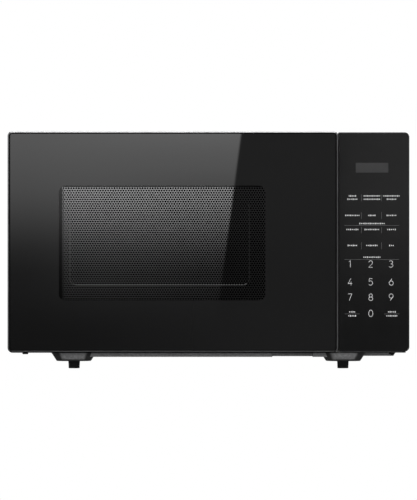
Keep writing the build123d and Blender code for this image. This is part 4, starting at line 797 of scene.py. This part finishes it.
def floorFinish():
    material, graph = newMaterial("floor")
    toCamera = graph.value("ShaderNodeLightPath", "Is Camera Ray")
    seen = graph.make("ShaderNodeEmission", {"Color": ground["white"], "Strength": 1.0}).outputs[0]
    lit = graph.make("ShaderNodeBsdfDiffuse", {"Color": ground["tone"]}).outputs[0]
    graph.close(graph.mix(toCamera, lit, seen))
    return material


def buildFloor(bm):
    bmesh.ops.create_grid(bm, x_segments=1, y_segments=1, size=ground["size"])


# studio card behind the camera: what the door, the screen and the panel mirror
card = dict(
    distance=4.0,
    corners=((-1.6, -0.6), (1.6, -0.6), (1.6, 1.2), (-1.6, 1.2)),
    edge=((0.0835, 0.4304), (0.0406, 0.1047)),  # two points of the slanted edge
    edgeSoft=(0.004, -0.004),
    strength=0.251,
    # ramps: start, end, and the tones there
    low=(-0.1, 0.12, 0.0, 0.42),
    middle=(0.06, 0.3, 0.0, 3.0),
    high=(0.12, 0.5, 0.0, 5.6),
    cornerUp=(0.36, 0.46, 0.0, 1.6),
    cornerAcross=(-0.5, 0.06),
    lowLeftUp=(-0.1, 0.12, 0.0, 0.4),
    lowLeftStart=(-0.5, -0.33),
    lowLeftEnd=(0.08, -0.3),
    leanAcross=(-0.35, 0.1, 1.02, 0.86),
    leanEnd=(0.28, 0.36),
    doorAcross=(-0.5, 0.15, 0.1, 1.0),
    doorUp=(0.05, 0.35, 0.2, 0.41),
    panelAcross=(0.3, 0.5, 1.0, 1.35),
    panelUp=(-0.1, 0.3, 0.14, 1.05),
    panelStart=(0.331, 0.335),
    leftEnd=(-0.8, -0.6),
    topEnd=(0.65, 0.5),
)


def cardFinish():
    material, graph = newMaterial("studioCard")
    x, _, z = graph.split(graph.coords())
    (x0, z0), (x1, z1) = card["edge"]
    slant = (x - x1) - (z - z1) * ((x0 - x1) / (z0 - z1))
    leftPart = slant.ramp(*card["edgeSoft"])
    corner = z.ramp(*card["cornerUp"]) * x.ramp(*card["cornerAcross"])
    lowLeft = z.ramp(*card["lowLeftUp"]) * x.ramp(*card["lowLeftStart"]) * x.ramp(*card["lowLeftEnd"])
    aboveLean = z.ramp(*card["leanEnd"])
    lean = x.ramp(*card["leanAcross"]) * (1 - aboveLean) + aboveLean
    fall = z.ramp(*card["low"]) + z.ramp(*card["middle"]) + z.ramp(*card["high"]) + corner + lowLeft
    doorRoom = x.ramp(*card["doorAcross"]) * z.ramp(*card["doorUp"])
    panelRoom = x.ramp(*card["panelAcross"]) * z.ramp(*card["panelUp"])
    room = doorRoom + (panelRoom - doorRoom) * x.ramp(*card["panelStart"])
    within = x.ramp(*card["leftEnd"]) * z.ramp(*card["topEnd"])
    tone = (leftPart * fall * lean + room) * within
    glow = graph.make("ShaderNodeEmission", {"Color": tone, "Strength": card["strength"]})
    graph.close(glow.outputs[0])
    return material


def buildCard(bm):
    depth = ovenLow.y - card["distance"]
    bm.faces.new([bm.verts.new((x, depth, z)) for x, z in card["corners"]])


floor = meshObject("floor", buildFloor, floorFinish())
studioCard = meshObject("studioCard", buildCard, cardFinish())
studioCard.visible_camera = False
floor.visible_glossy = False

# lamps and room light
roomLight = dict(white=(1, 1, 1, 1), dim=(0.95, 0.97, 1.0, 1), dimStrength=0.12)
lamps = {
    "overhead": dict(place=(0, -0.2, 1.7), target=(0, -0.05, 0.2), size=(1.6, 1.0), power=22.0),
    "leftSide": dict(place=(-1.7, 0.1, 0.7), target=(0, 0.1, 0.13), size=(0.8, 1.0), power=6.0),
    "rightSide": dict(place=(1.7, 0.1, 0.7), target=(0, 0.1, 0.13), size=(0.7, 1.0), power=5.0),
    "frontFill": dict(place=(0.1, -2.4, 0.25), target=(0, 0, 0.05), size=(0.9, 0.3), power=20.0),
    "behind": dict(place=(0.3, 1.8, 1.2), target=(0, 0, 0.13), size=(1.2, 0.8), power=8.0),
}


def lightRoom():
    # white to the camera, dim to the object
    scene.world = bpy.data.worlds.new("room")
    scene.world.use_nodes = True
    graph = Graph(scene.world.node_tree)
    toCamera = graph.value("ShaderNodeLightPath", "Is Camera Ray")
    white = graph.make("ShaderNodeBackground", {"Color": roomLight["white"], "Strength": 1.0})
    dim = graph.make("ShaderNodeBackground", {
        "Color": roomLight["dim"],
        "Strength": roomLight["dimStrength"],
    })
    graph.close(graph.mix(toCamera, dim.outputs[0], white.outputs[0]), "ShaderNodeOutputWorld")


def areaLight(name, place, target, size, power):
    data = bpy.data.lights.new(name, "AREA")
    data.shape = "RECTANGLE"
    data.size, data.size_y = size
    data.energy = power
    lamp = bpy.data.objects.new(name, data)
    scene.collection.objects.link(lamp)
    lamp.location = place
    lamp.rotation_mode = "QUATERNION"
    lamp.rotation_quaternion = (Vector(target) - Vector(place)).to_track_quat("-Z", "Y")
    lamp.visible_camera = False
    return lamp


lightRoom()
lampObjects = {name: areaLight(name, **facts) for name, facts in lamps.items()}
lampObjects["frontFill"].visible_glossy = False  # no mirror image in the door
print("stage: lit")

# camera square to the front, the picture's height filled at the front's distance
cameraData = bpy.data.cameras.new("camera")
cameraData.lens = cameraData.sensor_width * picture["distance"] / (picture["tall"] * pixel)
cameraData.clip_end = 60.0
camera = bpy.data.objects.new("camera", cameraData)
scene.collection.objects.link(camera)
camera.location = (0.0, ovenLow.y - picture["distance"], picture["middle"])
camera.rotation_euler = (math.pi / 2, 0, 0)
scene.camera = camera
scene.view_settings.view_transform = "Standard"

print("stage: done")
